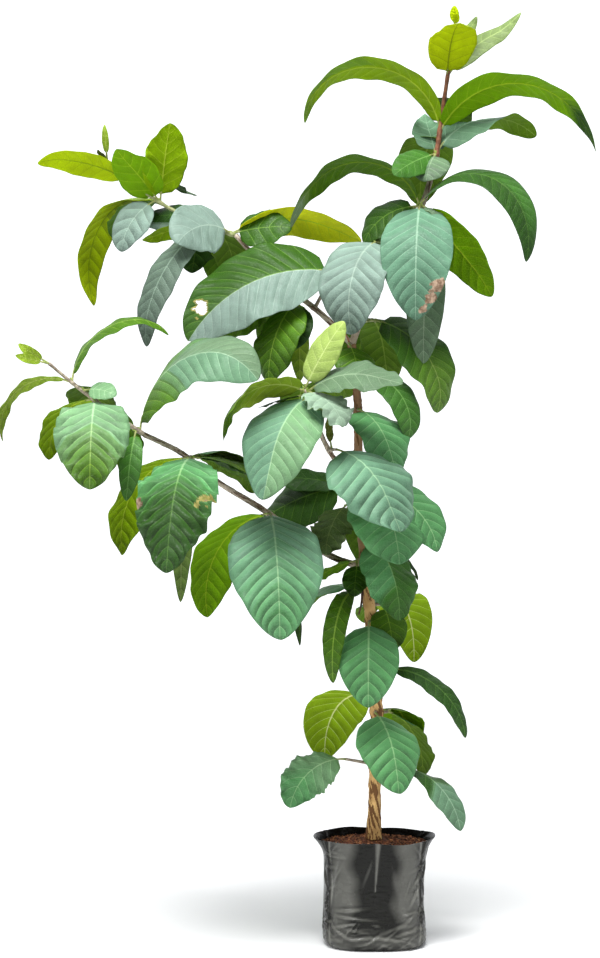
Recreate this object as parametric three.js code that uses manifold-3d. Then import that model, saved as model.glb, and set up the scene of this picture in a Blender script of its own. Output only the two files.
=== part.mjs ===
// A young guava tree in a black film grow bag: one slender trunk, four boughs, and leafy side
// shoots that carry the big opposite leaves. Millimetres, +Z up. The origin is the middle of the
// flat underside of the bag. +X is to the right along the bag's front and -Y is towards its front.
import * as THREE from "three";
import { mergeVertices } from "three/addons/utils/BufferGeometryUtils.js";
import Module from "manifold-3d";

const wasm = await Module();
wasm.setup();

// ---------- driving dimensions, in millimetres and degrees ----------

const CLEAR = 0.3; // gap between solids that meet

// The bag is black film, 152 mm wide when it lies flat, filled round.
const BAG = {
  halfWide: 49.5,
  halfDeep: 46,
  height: 104,
  film: 1.2,
  square: 2.7, // exponent of the outline: 2 is an ellipse, more is squarer
  corner: 9, // height of the rounding where the sides meet the floor
  drawnIn: 0.75, // how far that draws the floor in, for each millimetre of its height
  waist: 1.5, // how far the sides draw in at mid height
  ear: 9, // how far the rim flares at its two folds
  earDrop: 22, // height of that flare
  earNarrow: 5, // exponent: more keeps the flare nearer the folds
  around: 24, // facets
  levels: [2.5, 9, 30, 55, 82, 92, 98], // heights of the facets' edges
};

const SOIL = {
  level: 100, // at the trunk
  edgeDrop: 3.5, // how much lower it lies along the film
  flat: 16, // radius of the level patch round the trunk
};

// Each limb follows a smooth curve through its marks and tapers between the radii given there.
const TRUNK_FOOT = SOIL.level + CLEAR;
const LIMBS = {
  trunk: {
    marks: [
      [0, 0, TRUNK_FOOT], [0, 0, 125], [0.5, 0, 160], [2, -1, 218], [-0.5, -2, 272],
      [-4.5, -3, 318], [-11, -4, 385], [-15.5, -4, 450], [-16, -2, 505], [-18, 1, 540],
      [-22, 5, 574],
    ],
    radii: [6.2, 6.0, 5.9, 5.8, 5.7, 5.5, 5.0, 4.6, 4.1, 3.8, 3.6],
    sides: 10,
    flare: { deep: 2.2, height: 30, lobes: 5, ridge: 0.4, curl: 1.5 }, // five low buttresses
  },
  leader_bough: {
    marks: [
      [-22, 5, 574], [-8, 9, 612], [15, 13, 652], [37, 15, 688], [46, 17, 709], [52, 18, 727],
      [58, 19, 750],
    ],
    radii: [3.5, 3.3, 3.1, 2.9, 2.7, 2.6, 2.5],
    sides: 8,
  },
  upper_left_bough: {
    marks: [[-22, 5, 574], [-50, 12, 602], [-75, 18, 622], [-107, 24, 650], [-133, 28, 678]],
    radii: [3.0, 2.8, 2.6, 2.3, 2.1],
    sides: 8,
  },
  middle_bough: {
    marks: [[-16, -4, 446], [-38, -30, 466], [-52, -52, 492], [-61, -66, 523]],
    radii: [2.6, 2.4, 2.2, 2.0],
    sides: 8,
  },
  low_left_bough: {
    marks: [
      [-11, -4, 362], [-48, -16, 377], [-107, -36, 420], [-145, -46, 444], [-181, -54, 473],
      [-216, -60, 491],
    ],
    radii: [3.2, 3.0, 2.8, 2.6, 2.5, 2.3],
    sides: 8,
  },
};

// A stem thins to the share tip of its foot. One of up to long millimetres is a mere spur.
const STEM = { sides: 5, tip: 0.6, long: 40, longRings: 8, spurRings: 2 };

const LEAF = {
  petiole: 8,
  petioleShare: 1 / 3, // of the blade at most
  stalk: 1.1, // half the thickness of the petiole
  stalkShare: 0.25, // of the blade's width at most
  thickness: 0.012, // at the midrib, for each millimetre of blade
  thinnest: 1.1,
  fold: 8, // each half of a blade slopes down from the midrib
  wideAt: 0.86, // below 1 the blade is widest nearer its base
  baseBlunt: 0.42, // below 1 the base is rounder
  tipBlunt: 0.6, // below 1 the tip is rounder
  rings: 5, // sections of a blade
  bentRings: 7, // of one that droops further than bent
  bent: 90,
};

// Turn is the way a stem or leaf heads: 0 is right, 90 away from the front, 180 left and 270 to
// the front. Rise is how steeply it leaves, droop how far it bends down by its end. A stem is
// [turn, rise, droop, length, radius] and meets its limb at a distance along it. A leaf is
// [share along the stem, turn, rise, droop, length, width, roll, twist]. Hidden is the number of
// leaves that the seeded rule tries to add on the far side.
const TIP = Infinity;
const SHOOTS = {
  leader_top_leaves: {
    limb: "leader_bough", at: TIP, stem: [0, 82, 0, 126, 2.3],
    leaves: [
      [0.22, 185, 82, 158, 181, 44, 22, 0],
      [0.2, 340, 64, 144, 192, 44, -30, 0],
      [0.6, 280, 84, 88, 76, 46, 0, 0],
      [0.63, 20, 54, 40, 84, 24, 40, 0],
      [1, 262, 80, 0, 15, 9, 0, 0],
      [1, 285, 62, 0, 11, 7, 0, 0],
      [0.75, 0, 57, 0, 40, 12, 75, 0],
      [0.05, 15, 60, 100, 108, 46, 50, -100],
      [0.02, 108, 55, 10, 44, 34, 0, 0],
      [0.04, 228, -10, 18, 58, 30, -45, 0],
      [0.04, 250, -15, 50, 36, 38, 0, 0],
    ],
    hidden: 2,
  },
  leader_middle_leaves: {
    limb: "leader_bough", at: 142, stem: [270, 30, 0, 12, 2],
    leaves: [
      [0.9, 177, 74, 168, 162, 46, 20, 0],
      [0.9, 332, 60, 172, 170, 45, 20, 0],
      [0.9, 180, 2, 70, 60, 42, -45, 0],
      [1, 264, -15, 95, 128, 68, 0, 0],
      [0.9, 355, -46, 8, 102, 46, -58, 0],
      [1, 315, -10, 30, 28, 16, 0, 0],
    ],
    hidden: 2,
  },
  leader_left_leaf: {
    limb: "leader_bough", at: 100, stem: [206, 22, 0, 23, 1.8],
    leaves: [
      [1, 239, -8, 105, 110, 66, -10, 0],
    ],
  },
  leader_right_leaf: {
    limb: "leader_bough", at: 112, stem: [330, 0, 0, 26, 1.8],
    leaves: [
      [1, 256, -68, 20, 112, 38, 0, 0],
    ],
  },
  leader_foot_leaves: {
    limb: "leader_bough", at: 22, stem: [350, 10, 0, 14, 1.8],
    leaves: [
      [1, 341, -10, 85, 114, 60, 30, 0],
    ],
    hidden: 2,
  },
  upper_left_top_leaves: {
    limb: "upper_left_bough", at: TIP, stem: [180, 15, -30, 143, 2],
    leaves: [
      [0.03, 15, 30, 70, 128, 42, -40, 0],
      [1, 258, 74, 0, 27, 7, 0, 0],
      [1, 240, 30, 0, 14, 7, 0, 0],
      [0.8, 190, 30, 35, 84, 29, 50, 0],
      [0.55, 212, 50, 10, 60, 46, 30, 0],
      [0.55, 298, 78, 10, 70, 46, 0, 0],
      [0.55, 138, 22, 138, 166, 42, 0, 0],
      [0.58, 205, -24, 60, 56, 40, -35, 0],
      [0.3, 150, 20, 40, 50, 34, -50, 0],
      [0.03, 222, 32, 82, 66, 56, -58, 0],
      [0.25, 190, -10, 15, 50, 22, 40, 0],
      [0.2, 222, -25, 60, 138, 36, -15, 0],
      [0.2, 110, -10, 70, 60, 45, 0, 0],
      [0.03, 346, 15, 18, 52, 42, 58, 0],
    ],
    hidden: 4,
  },
  upper_left_middle_leaves: {
    limb: "upper_left_bough", at: 50, stem: [320, 55, 0, 42, 1.8],
    leaves: [
      [1, 193, 10, 70, 157, 78, -55, 0],
    ],
    hidden: 1,
  },
  upper_left_low_leaves: {
    limb: "upper_left_bough", at: 66, stem: [250, -10, 0, 11, 1.8],
    leaves: [
      [1, 165, 0, 60, 95, 44, 20, 0],
      [1, 232, -30, 60, 86, 54, 0, 0],
      [1, 262, -50, 30, 44, 34, 0, 0],
      [1, 280, -75, 10, 70, 20, 0, 0],
    ],
    hidden: 2,
  },
  middle_bough_leaves: {
    limb: "middle_bough", at: TIP, stem: [190, 60, 0, 12, 1.8],
    leaves: [
      [0.7, 205, 30, 110, 108, 50, 30, 0],
      [1, 350, 66, 12, 65, 29, 80, 0],
      [0.7, 340, 40, 75, 90, 50, 30, 0],
      [0.8, 308, -2, 50, 58, 46, 0, 0],
      [0.3, 240, -10, 80, 120, 72, -10, 0],
      [0.5, 175, -5, 20, 40, 20, 0, 0],
    ],
    hidden: 1,
  },
  fork_leaf: {
    limb: "trunk", at: 484, stem: [250, 10, 0, 9, 1.8],
    leaves: [
      [1, 288, -30, 35, 44, 40, 0, 0],
    ],
    hidden: 1,
  },
  fork_right_leaf: {
    limb: "trunk", at: 443, stem: [15, 0, 0, 12, 1.8],
    leaves: [
      [1, 320, 5, 108, 82, 34, 20, 0],
    ],
    hidden: 1,
  },
  trunk_upper_leaf: {
    limb: "trunk", at: 412, stem: [270, 10, 0, 10, 1.8],
    leaves: [
      [1, 308, -13, 70, 76, 62, 0, 0],
    ],
  },
  middle_bough_foot_leaf: {
    limb: "middle_bough", at: 55, stem: [285, 3, 0, 29, 1.8],
    leaves: [
      [1, 315, -8, 73, 104, 86, 13, 0],
      [0.4, 240, 72, 0, 24, 11, 80, 0],
    ],
  },
  trunk_upper_back_leaves: {
    limb: "trunk", at: 338, stem: [180, 10, 0, 12, 1.8],
    leaves: [
      [1, 166, -8, 28, 80, 60, -50, 0],
      [1, 170, 15, 20, 66, 30, -40, 0],
    ],
    hidden: 2,
  },
  trunk_middle_right_leaves: {
    limb: "trunk", at: 335, stem: [330, 10, 0, 13, 1.8],
    leaves: [
      [1, 296, -15, 70, 85, 78, 0, 0],
      [1, 345, -3, 78, 86, 52, 40, 0],
    ],
    hidden: 1,
  },
  trunk_middle_left_leaf: {
    limb: "trunk", at: 322, stem: [215, 5, 0, 15, 1.8],
    leaves: [
      [1, 240, -15, 60, 58, 44, 0, 0],
    ],
  },
  trunk_waist_right_leaves: {
    limb: "trunk", at: 288, stem: [300, 10, 0, 17, 1.8],
    leaves: [
      [1, 302, -25, 65, 84, 58, 0, 0],
      [1, 20, -10, 60, 58, 18, 0, 0],
    ],
  },
  trunk_waist_left_leaves: {
    limb: "trunk", at: 270, stem: [235, 0, 0, 12, 1.8],
    leaves: [
      [1, 195, -12, 20, 44, 26, 30, 0],
      [1, 262, -35, 30, 34, 26, 0, 0],
    ],
  },
  trunk_low_left_leaf: {
    limb: "trunk", at: 240, stem: [190, 0, 0, 14, 1.8],
    leaves: [
      [1, 250, 0, 112, 110, 22, -25, 0],
    ],
    hidden: 1,
  },
  trunk_low_right_leaves: {
    limb: "trunk", at: 226, stem: [20, 0, 0, 14, 1.8],
    leaves: [
      [1, 66, 20, 118, 116, 48, -20, 0],
      [1, 285, -25, 50, 46, 36, 0, 0],
    ],
    hidden: 1,
  },
  trunk_low_front_leaf: {
    limb: "trunk", at: 211, stem: [262, 0, 0, 14, 1.8],
    leaves: [
      [1, 268, -15, 75, 92, 58, 0, 0],
    ],
  },
  trunk_foot_right_leaf: {
    limb: "trunk", at: 165, stem: [340, 0, 0, 12, 1.8],
    leaves: [
      [1, 340, 4, 84, 103, 23, 30, 0],
    ],
  },
  trunk_foot_left_leaf: {
    limb: "trunk", at: 138, stem: [145, 0, 0, 14, 1.8],
    leaves: [
      [1, 125, 0, 95, 100, 58, 25, 0],
    ],
  },
  base_front_leaf: {
    limb: "trunk", at: 124, stem: [262, 0, 0, 12, 1.8],
    leaves: [
      [1, 292, -15, 75, 86, 62, 0, 0],
    ],
  },
  base_back_leaf: {
    limb: "trunk", at: 122, stem: [30, 0, 0, 12, 1.8],
    leaves: [
      [1, 68, 15, 110, 82, 46, 0, 0],
    ],
    hidden: 1,
  },
  base_left_leaf: {
    limb: "trunk", at: 72, stem: [195, 12, 0, 30, 1.8],
    leaves: [
      [1, 205, 8, 88, 72, 46, -22, -40],
    ],
  },
  base_right_leaf: {
    limb: "trunk", at: 70, stem: [335, 5, 0, 26, 1.8],
    leaves: [
      [1, 335, -4, 78, 84, 30, -12, 72],
    ],
  },
  low_left_top_leaves: {
    limb: "low_left_bough", at: TIP, stem: [185, 33, -8, 110, 2.1],
    leaves: [
      [1, 180, 32, 0, 26, 10, 80, 0],
      [1, 184, 14, 0, 24, 9, 80, 0],
      [0.75, 0, 86, 115, 118, 26, 20, 0],
      [0.75, 183, 25, 130, 98, 26, 20, 0],
      [0.5, 270, -3, 84, 112, 70, 0, 0],
      [0.52, 146, 0, 95, 80, 50, 0, 0],
      [0.64, 330, 14, 40, 30, 22, 45, 0],
      [0.043, 328, 85, 122, 166, 76, 42, 0],
      [0.08, 258, -42, 42, 66, 22, 0, 0],
    ],
    hidden: 2,
  },
  low_left_middle_leaves: {
    limb: "low_left_bough", at: 200, stem: [270, 15, 0, 12, 1.8],
    leaves: [
      [1, 260, 0, 90, 146, 74, 0, 0],
      [1, 112, -60, 40, 134, 22, 0, 0],
      [1, 160, -2, 104, 124, 58, 20, 0],
      [1, 20, 0, 40, 58, 25, 0, 0],
    ],
    hidden: 2,
  },
  low_left_inner_leaves: {
    limb: "low_left_bough", at: 108, stem: [270, 10, 0, 12, 1.8],
    leaves: [
      [1, 276, -8, 82, 148, 88, 0, 0],
      [1, 25, -58, 38, 124, 30, 0, 0],
      [1, 150, -9, 94, 130, 62, 22, 0],
    ],
    hidden: 2,
  },
};

// The seeded rule for the leaves of the hidden side: each is drawn between these measures.
const HIDDEN = {
  seed: 2027,
  seedStep: 101, // from one shoot to the next
  tries: 40, // for each leaf wanted
  along: [0.15, 1], // where it may leave a long stem; on a spur it leaves the end
  turn: [35, 145],
  rise: [-25, 25],
  droop: [55, 105],
  length: [70, 118],
  slender: 0.52, // width for each millimetre of length
  roll: [-20, 20],
  apart: 12, // from the leaves of other shoots
  covered: 13, // seen from the front it lies this near to a leaf there, so no gap is closed
  fromLimb: 4,
};

// Where leaves are kept apart, a blade stands as rows of spots: from the first share of its
// length, at even steps, and at these parts of its half width. A limb stands as even steps too.
const SPOTS = { rows: 9, first: 0.06, step: 0.11, across: [-1, -0.5, 0, 0.5, 1] };
const LIMB_SPOTS = 60;

// ---------- geometry helpers ----------

const WELD = 1e-4; // points closer than this are one
const FINEST = 0.02; // edges shorter than this are closed up after a join

const rad = THREE.MathUtils.degToRad;
const UP = new THREE.Vector3(0, 0, 1);

// The direction of a turn and a rise.
function heading(turn, rise) {
  const flat = Math.cos(rad(rise));
  return new THREE.Vector3(
    Math.cos(rad(turn)) * flat, Math.sin(rad(turn)) * flat, Math.sin(rad(rise)));
}

// A stem or midrib leaves at one rise and bends down evenly by its droop: places at even steps.
function arc(start, turn, rise, droop, length, steps) {
  const path = [{ point: start.clone(), way: heading(turn, rise) }];
  for (let i = 0; i < steps; i++) {
    const step = heading(turn, rise - (droop * (i + 0.5)) / steps).multiplyScalar(length / steps);
    const way = heading(turn, rise - (droop * (i + 1)) / steps);
    path.push({ point: path[i].point.clone().add(step), way });
  }
  return path;
}

// The place at a share of the way along such a path.
function placeOn(path, share) {
  const last = path.length - 1;
  const i = Math.max(0, Math.min(Math.floor(share * last), last - 1));
  const between = share * last - i;
  return {
    point: path[i].point.clone().lerp(path[i + 1].point, between),
    way: path[i].way.clone().lerp(path[i + 1].way, between).normalize(),
  };
}

// One closed skin over rings of points, each ring counter-clockwise about the way it runs. It
// ends flat, or in the point tip. Every second quad is split the other way, so that the two
// faces of a thin blade keep the same creases.
function loft(rings, tip = null) {
  const count = rings[0].length;
  const points = rings.flat();
  const faces = [];
  const at = (ring, k) => ring * count + (k % count);
  for (let r = 0; r + 1 < rings.length; r++) {
    for (let k = 0; k < count; k++) {
      const [a, b, c, d] = [at(r, k), at(r, k + 1), at(r + 1, k + 1), at(r + 1, k)];
      if (k % 2) faces.push(a, b, c, a, c, d);
      else faces.push(a, b, d, b, c, d);
    }
  }
  const middle = (ring) => ring
    .reduce((sum, p) => sum.add(p), new THREE.Vector3()).divideScalar(count);
  const last = rings.length - 1;
  points.push(middle(rings[0]), tip ?? middle(rings[last]));
  for (let k = 0; k < count; k++) {
    faces.push(points.length - 2, at(0, k + 1), at(0, k));
    faces.push(points.length - 1, at(last, k), at(last, k + 1));
  }
  return new THREE.BufferGeometry().setFromPoints(points).setIndex(faces);
}

function toSolid(geometry) {
  const merged = mergeVertices(geometry, WELD);
  return new wasm.Manifold(new wasm.Mesh({
    numProp: 3,
    vertProperties: merged.attributes.position.array,
    triVerts: new Uint32Array(merged.index.array),
  }));
}

function toGeometry(solid) {
  const mesh = solid.simplify(FINEST).getMesh();
  return new THREE.BufferGeometry()
    .setAttribute("position", new THREE.BufferAttribute(mesh.vertProperties, 3))
    .setIndex(new THREE.BufferAttribute(mesh.triVerts, 1));
}

// A ring of points about a place, its radius a function of the angle.
function ringAbout(point, side, over, radiusAt, count) {
  return Array.from({ length: count }, (_, k) => {
    const angle = (2 * Math.PI * k) / count;
    return point.clone()
      .addScaledVector(side, radiusAt(angle) * Math.cos(angle))
      .addScaledVector(over, radiusAt(angle) * Math.sin(angle));
  });
}

// Park and Miller's generator: the same draws on every run.
const [MULTIPLIER, MODULUS] = [16807, 2147483647];

function drawsFrom(seed) {
  let state = seed;
  return ([low, high]) => {
    state = (state * MULTIPLIER) % MODULUS;
    return low + ((high - low) * state) / MODULUS;
  };
}

// ---------- bag and soil ----------

// The bag's outline at one height, drawn in by inset: a squared oval, with ears at the rim.
function bagRing(z, inset) {
  const low = Math.max(0, 1 - z / BAG.corner);
  const rounding = BAG.corner * (1 - Math.sqrt(1 - low * low));
  const flare = Math.max(0, 1 - (BAG.height - z) / BAG.earDrop) ** 2;
  const waist = BAG.waist * Math.sin((Math.PI * Math.min(z, BAG.height)) / BAG.height) ** 2;
  return Array.from({ length: BAG.around }, (_, k) => {
    const angle = (2 * Math.PI * k) / BAG.around;
    const [c, s] = [Math.cos(angle), Math.sin(angle)];
    const squared = (Math.abs(c) ** BAG.square + Math.abs(s) ** BAG.square) ** (-1 / BAG.square);
    const pull = inset + rounding * BAG.drawnIn + waist;
    const ear = BAG.ear * flare * Math.abs(c) ** BAG.earNarrow;
    return new THREE.Vector3(
      c * squared * (BAG.halfWide - pull + ear), s * squared * (BAG.halfDeep - pull), z);
  });
}

function bagGeometry() {
  const outer = loft([0, ...BAG.levels, BAG.height].map((z) => bagRing(z, 0)));
  const inside = BAG.levels.filter((z) => z >= BAG.corner);
  const inner = [BAG.film, ...inside, BAG.height].map((z) => bagRing(z, BAG.film));
  const mouth = bagRing(BAG.height, BAG.film).map((p) => p.setZ(BAG.height + BAG.film));
  return toGeometry(toSolid(outer).subtract(toSolid(loft([...inner, mouth]))));
}

function soilGeometry() {
  const inset = BAG.film + 2 * CLEAR;
  const edge = SOIL.level - SOIL.edgeDrop;
  const inside = BAG.levels.filter((z) => z >= BAG.corner && z < edge);
  const levels = [BAG.film + CLEAR, ...inside, edge];
  const flat = ringAbout(new THREE.Vector3(0, 0, SOIL.level), new THREE.Vector3(1, 0, 0),
    new THREE.Vector3(0, 1, 0), () => SOIL.flat, BAG.around);
  return loft([...levels.map((z) => bagRing(z, inset)), flat]);
}

// ---------- trunk and boughs ----------

const SECTION_EVERY = 18; // millimetres between a limb's rings

const curves = Object.fromEntries(Object.entries(LIMBS).map(([name, { marks }]) => [
  name,
  new THREE.CatmullRomCurve3(marks.map((m) => new THREE.Vector3(...m)), false, "catmullrom"),
]));

// A limb's radius at a share of its length.
function limbRadius(name, share) {
  const { radii } = LIMBS[name];
  const along = curves[name].getUtoTmapping(share) * (radii.length - 1);
  const i = Math.min(Math.floor(along), radii.length - 2);
  return THREE.MathUtils.lerp(radii[i], radii[i + 1], along - i);
}

// How far the roots' flare swells the foot of a limb, highest on its buttresses.
function rootSwell({ deep, height, lobes, ridge, curl }, fromFoot, angle) {
  const rise = Math.max(0, 1 - fromFoot / height) ** curl;
  return deep * rise * (1 - ridge + ridge * Math.cos(angle * lobes));
}

// The limb as a solid or, with grow, the space that its neighbours keep clear of.
function limbSolid(name, grow = 0) {
  const { sides, flare } = LIMBS[name];
  const curve = curves[name];
  const length = curve.getLength();
  const steps = Math.round(length / SECTION_EVERY);
  const frames = curve.computeFrenetFrames(steps, false);
  const rings = [];
  for (let i = 0; i <= steps; i++) {
    const point = curve.getPointAt(i / steps);
    if (i === 0) point.addScaledVector(frames.tangents[0], -grow);
    if (i === steps) point.addScaledVector(frames.tangents[steps], grow);
    const radius = limbRadius(name, i / steps) + grow;
    const fromFoot = (length * i) / steps;
    const swell = (angle) => (flare ? rootSwell(flare, fromFoot, angle) : 0);
    const radiusAt = (angle) => radius + swell(angle);
    rings.push(ringAbout(point, frames.normals[i], frames.binormals[i], radiusAt, sides));
  }
  return toSolid(loft(rings));
}

const limbSpaces = Object.keys(LIMBS).map((name) => limbSolid(name, CLEAR));

// The outer skin of the largest piece of a solid: loose scraps go, and sealed hollows are filled.
function mainBody(solid) {
  return solid.decompose().reduce((best, p) => (p.volume() > best.volume() ? p : best));
}

function copedTo(spaces, solid) {
  return mainBody(spaces.reduce((left, space) => left.subtract(space), solid));
}

// Each bough is cut clear of the limbs named before it.
function boughSolid(name) {
  return copedTo(limbSpaces.slice(0, Object.keys(LIMBS).indexOf(name)), limbSolid(name));
}

// ---------- stems and leaves ----------

const ARC_STEPS = 24; // of a leaf's midrib
const STEM_STEPS = 12; // of a stem

function stemPath({ limb, at, stem: [turn, rise, droop, length] }) {
  const curve = curves[limb];
  const foot = curve.getPointAt(Math.min(1, at / curve.getLength()));
  return arc(foot, turn, rise, droop, length, STEM_STEPS);
}

// The stem of a shoot, coped to its limb so that it meets it a hair clear.
function stemSolid({ stem: [, , , length, radius] }, path) {
  const steps = length > STEM.long ? STEM.longRings : STEM.spurRings;
  const rings = [];
  for (let i = 0; i <= steps; i++) {
    const { point, way } = placeOn(path, i / steps);
    const side = new THREE.Vector3().crossVectors(UP, way).normalize();
    const over = new THREE.Vector3().crossVectors(way, side);
    const thin = radius * THREE.MathUtils.lerp(1, STEM.tip, i / steps);
    rings.push(ringAbout(point, side, over, () => thin, STEM.sides));
  }
  return copedTo(limbSpaces, toSolid(loft(rings)));
}

// Half the width of a blade at a share of its length, as a part of its greatest half width.
function outline(share) {
  const lobe = Math.sin(Math.PI * share ** LEAF.wideAt);
  return lobe ** (share ** LEAF.wideAt < 0.5 ? LEAF.baseBlunt : LEAF.tipBlunt);
}

// A leaf's midrib, and a function from a share of it to the place there with the directions
// across the blade and out of its upper face.
function leafFrames(base, [, turn, rise, droop, length, , roll, twist]) {
  const petiole = Math.min(LEAF.petiole, length * LEAF.petioleShare);
  const path = arc(base, turn, rise, droop, petiole + length, ARC_STEPS);
  const level = new THREE.Vector3(-Math.sin(rad(turn)), Math.cos(rad(turn)), 0);
  const frameAt = (share) => {
    const { point, way } = placeOn(path, (petiole + share * length) / (petiole + length));
    const tilt = rad(roll + twist * Math.max(0, share));
    const upright = new THREE.Vector3().crossVectors(way, level);
    const across = level.clone().multiplyScalar(Math.cos(tilt))
      .addScaledVector(upright, Math.sin(tilt));
    const out = upright.multiplyScalar(Math.cos(tilt))
      .addScaledVector(level, -Math.sin(tilt));
    return { point, across, out };
  };
  return { frameAt, rootShare: -petiole / length, tip: path[ARC_STEPS].point };
}

// A leaf is one skin from the root of its petiole, sunk in the stem, to the tip of its blade. A
// section is a shallow roof of four points: thick at the midrib, thin at the two edges.
function leafSolid(base, leaf) {
  const [, , , droop, length, width] = leaf;
  const { frameAt, rootShare, tip } = leafFrames(base, leaf);
  const section = (share, half, thick) => {
    const { point, across, out } = frameAt(share);
    const sunk = -half * Math.tan(rad(LEAF.fold));
    const place = (side, up) => point.clone().addScaledVector(across, side).addScaledVector(out, up);
    return [place(half, sunk), place(0, thick / 2), place(-half, sunk), place(0, -thick / 2)];
  };
  const stalk = Math.min(LEAF.stalk, width * LEAF.stalkShare);
  const rings = [section(rootShare, stalk, 2 * stalk), section(0, stalk, 2 * stalk)];
  const stations = droop > LEAF.bent ? LEAF.bentRings : LEAF.rings;
  const thick = Math.max(LEAF.thinnest, LEAF.thickness * length);
  for (let k = 1; k <= stations; k++) {
    const share = (1 - Math.cos((Math.PI * k) / (stations + 1))) / 2;
    rings.push(section(share, (width / 2) * outline(share), thick));
  }
  return toSolid(loft(rings, tip));
}

// Points spread over a blade, which stand for it where leaves are kept apart.
function spots(base, leaf) {
  const [, , , , , width] = leaf;
  const { frameAt } = leafFrames(base, leaf);
  const found = [];
  for (let k = 0; k < SPOTS.rows; k++) {
    const share = SPOTS.first + SPOTS.step * k;
    const { point, across } = frameAt(share);
    const half = (width / 2) * outline(share);
    for (const side of SPOTS.across) {
      found.push(point.clone().addScaledVector(across, side * half));
    }
  }
  return found;
}

const limbSpots = Object.keys(LIMBS).flatMap((name) =>
  Array.from({ length: LIMB_SPOTS + 1 }, (_, i) => ({
    point: curves[name].getPointAt(i / LIMB_SPOTS), radius: limbRadius(name, i / LIMB_SPOTS),
  })));

// The seeded rule: leaves for the far side of a shoot, each kept only where it is clear of every
// limb and of the other shoots' leaves, and lies behind leaves that show from the front.
function hiddenLeaves(name, path, wanted, front, others) {
  const draw = drawsFrom(HIDDEN.seed + HIDDEN.seedStep * Object.keys(SHOOTS).indexOf(name));
  const { stem: [, , , stemLength] } = SHOOTS[name];
  const reach = stemLength > STEM.long ? HIDDEN.along : [1, 1];
  const kept = [];
  for (let n = 0; n < HIDDEN.tries * wanted && kept.length < wanted; n++) {
    const along = draw(reach);
    const length = draw(HIDDEN.length);
    const leaf = [along, draw(HIDDEN.turn), draw(HIDDEN.rise), draw(HIDDEN.droop), length,
      HIDDEN.slender * length, draw(HIDDEN.roll), 0];
    const own = spots(placeOn(path, along).point, leaf);
    const covered = own.every((p) => front.some((q) =>
      Math.hypot(p.x - q.x, p.z - q.z) < HIDDEN.covered));
    const clear = own.every((p) => others.every((q) => p.distanceTo(q) > HIDDEN.apart)
      && limbSpots.every((q) => p.distanceTo(q.point) > q.radius + HIDDEN.fromLimb));
    if (covered && clear) kept.push(leaf);
  }
  return kept;
}

// ---------- the whole plant ----------

const finish = (color, roughness) =>
  new THREE.MeshStandardMaterial({ color, roughness, metalness: 0, side: THREE.DoubleSide });

const FILM = finish(0x1c1d1b, 0.3);
const EARTH = finish(0x5b3a26, 0.95);
const BARK = finish(0x9c7c55, 0.8);
const YOUNG_BARK = finish(0x8d8262, 0.7);
const FOLIAGE = finish(0x5f9168, 0.55);

const tree = new THREE.Group();
const inBag = new THREE.Group();
const limbs = new THREE.Group();
const crown = new THREE.Group();
tree.add(inBag, limbs, crown);

function addPiece(group, name, geometry, material) {
  const piece = new THREE.Mesh(geometry, material);
  piece.name = name;
  group.add(piece);
}

addPiece(inBag, "grow_bag", bagGeometry(), FILM);
addPiece(inBag, "soil", soilGeometry(), EARTH);
for (const name of Object.keys(LIMBS)) {
  addPiece(limbs, name, toGeometry(boughSolid(name)), name === "trunk" ? BARK : YOUNG_BARK);
}

const paths = Object.fromEntries(Object.entries(SHOOTS).map(([name, s]) => [name, stemPath(s)]));
const shown = Object.fromEntries(Object.entries(SHOOTS).map(([name, { leaves }]) => [
  name, leaves.flatMap((leaf) => spots(placeOn(paths[name], leaf[0]).point, leaf)),
]));
for (const [name, shoot] of Object.entries(SHOOTS)) {
  const path = paths[name];
  const front = Object.values(shown).flat();
  const others = Object.keys(shown).filter((key) => key !== name).flatMap((key) => shown[key]);
  const hidden = hiddenLeaves(name, path, shoot.hidden ?? 0, front, others);
  const solids = [...shoot.leaves, ...hidden].map((leaf) =>
    leafSolid(placeOn(path, leaf[0]).point, leaf));
  shown[name].push(...hidden.flatMap((leaf) => spots(placeOn(path, leaf[0]).point, leaf)));
  const fused = wasm.Manifold.union([stemSolid(shoot, path), ...solids]);
  addPiece(crown, name, toGeometry(mainBody(fused)), FOLIAGE);
}

export default tree;
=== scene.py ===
# %% [markdown]
# # A young guava tree in a black grow bag
#
# The plant is nine tenths of a metre tall. A slender trunk leans a little to the left, forks
# into a leader and three boughs, and carries large opposite leaves with deep lateral veins.
# It stands in a nursery bag of black film filled with damp cocopeat. The solids of the frame
# already hold every limb and leaf at its true place, so each step here repeats one of their
# rules and carries it finer: bark on the limbs, quilted blades on the leaves, film on the bag.

# %% Load the frame
import math
import bpy
import numpy as np
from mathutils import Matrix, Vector, noise


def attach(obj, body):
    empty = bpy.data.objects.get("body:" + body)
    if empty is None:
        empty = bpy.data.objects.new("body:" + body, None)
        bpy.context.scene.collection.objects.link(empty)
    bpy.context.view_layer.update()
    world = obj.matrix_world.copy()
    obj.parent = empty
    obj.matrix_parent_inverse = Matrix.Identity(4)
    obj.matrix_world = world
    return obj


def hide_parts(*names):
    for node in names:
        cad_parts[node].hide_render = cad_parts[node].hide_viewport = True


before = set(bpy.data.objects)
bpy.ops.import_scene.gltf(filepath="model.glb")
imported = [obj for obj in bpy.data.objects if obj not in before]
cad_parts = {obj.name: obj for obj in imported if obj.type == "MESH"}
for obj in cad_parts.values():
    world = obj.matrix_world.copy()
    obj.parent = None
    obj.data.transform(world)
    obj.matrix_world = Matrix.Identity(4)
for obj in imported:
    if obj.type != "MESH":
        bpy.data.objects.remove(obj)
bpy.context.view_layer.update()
scene = bpy.context.scene
MM = 0.001  # the rules below count in millimetres, Blender in metres

# %% [markdown]
# ## Where the viewer stands
#
# A plant in a catalogue is seen from far off with a long lens, so that its near leaves don't
# swell. The eye stands a little above the middle of the plant and looks down by a few degrees,
# which opens the mouth of the bag just enough to show the soil.

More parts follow.
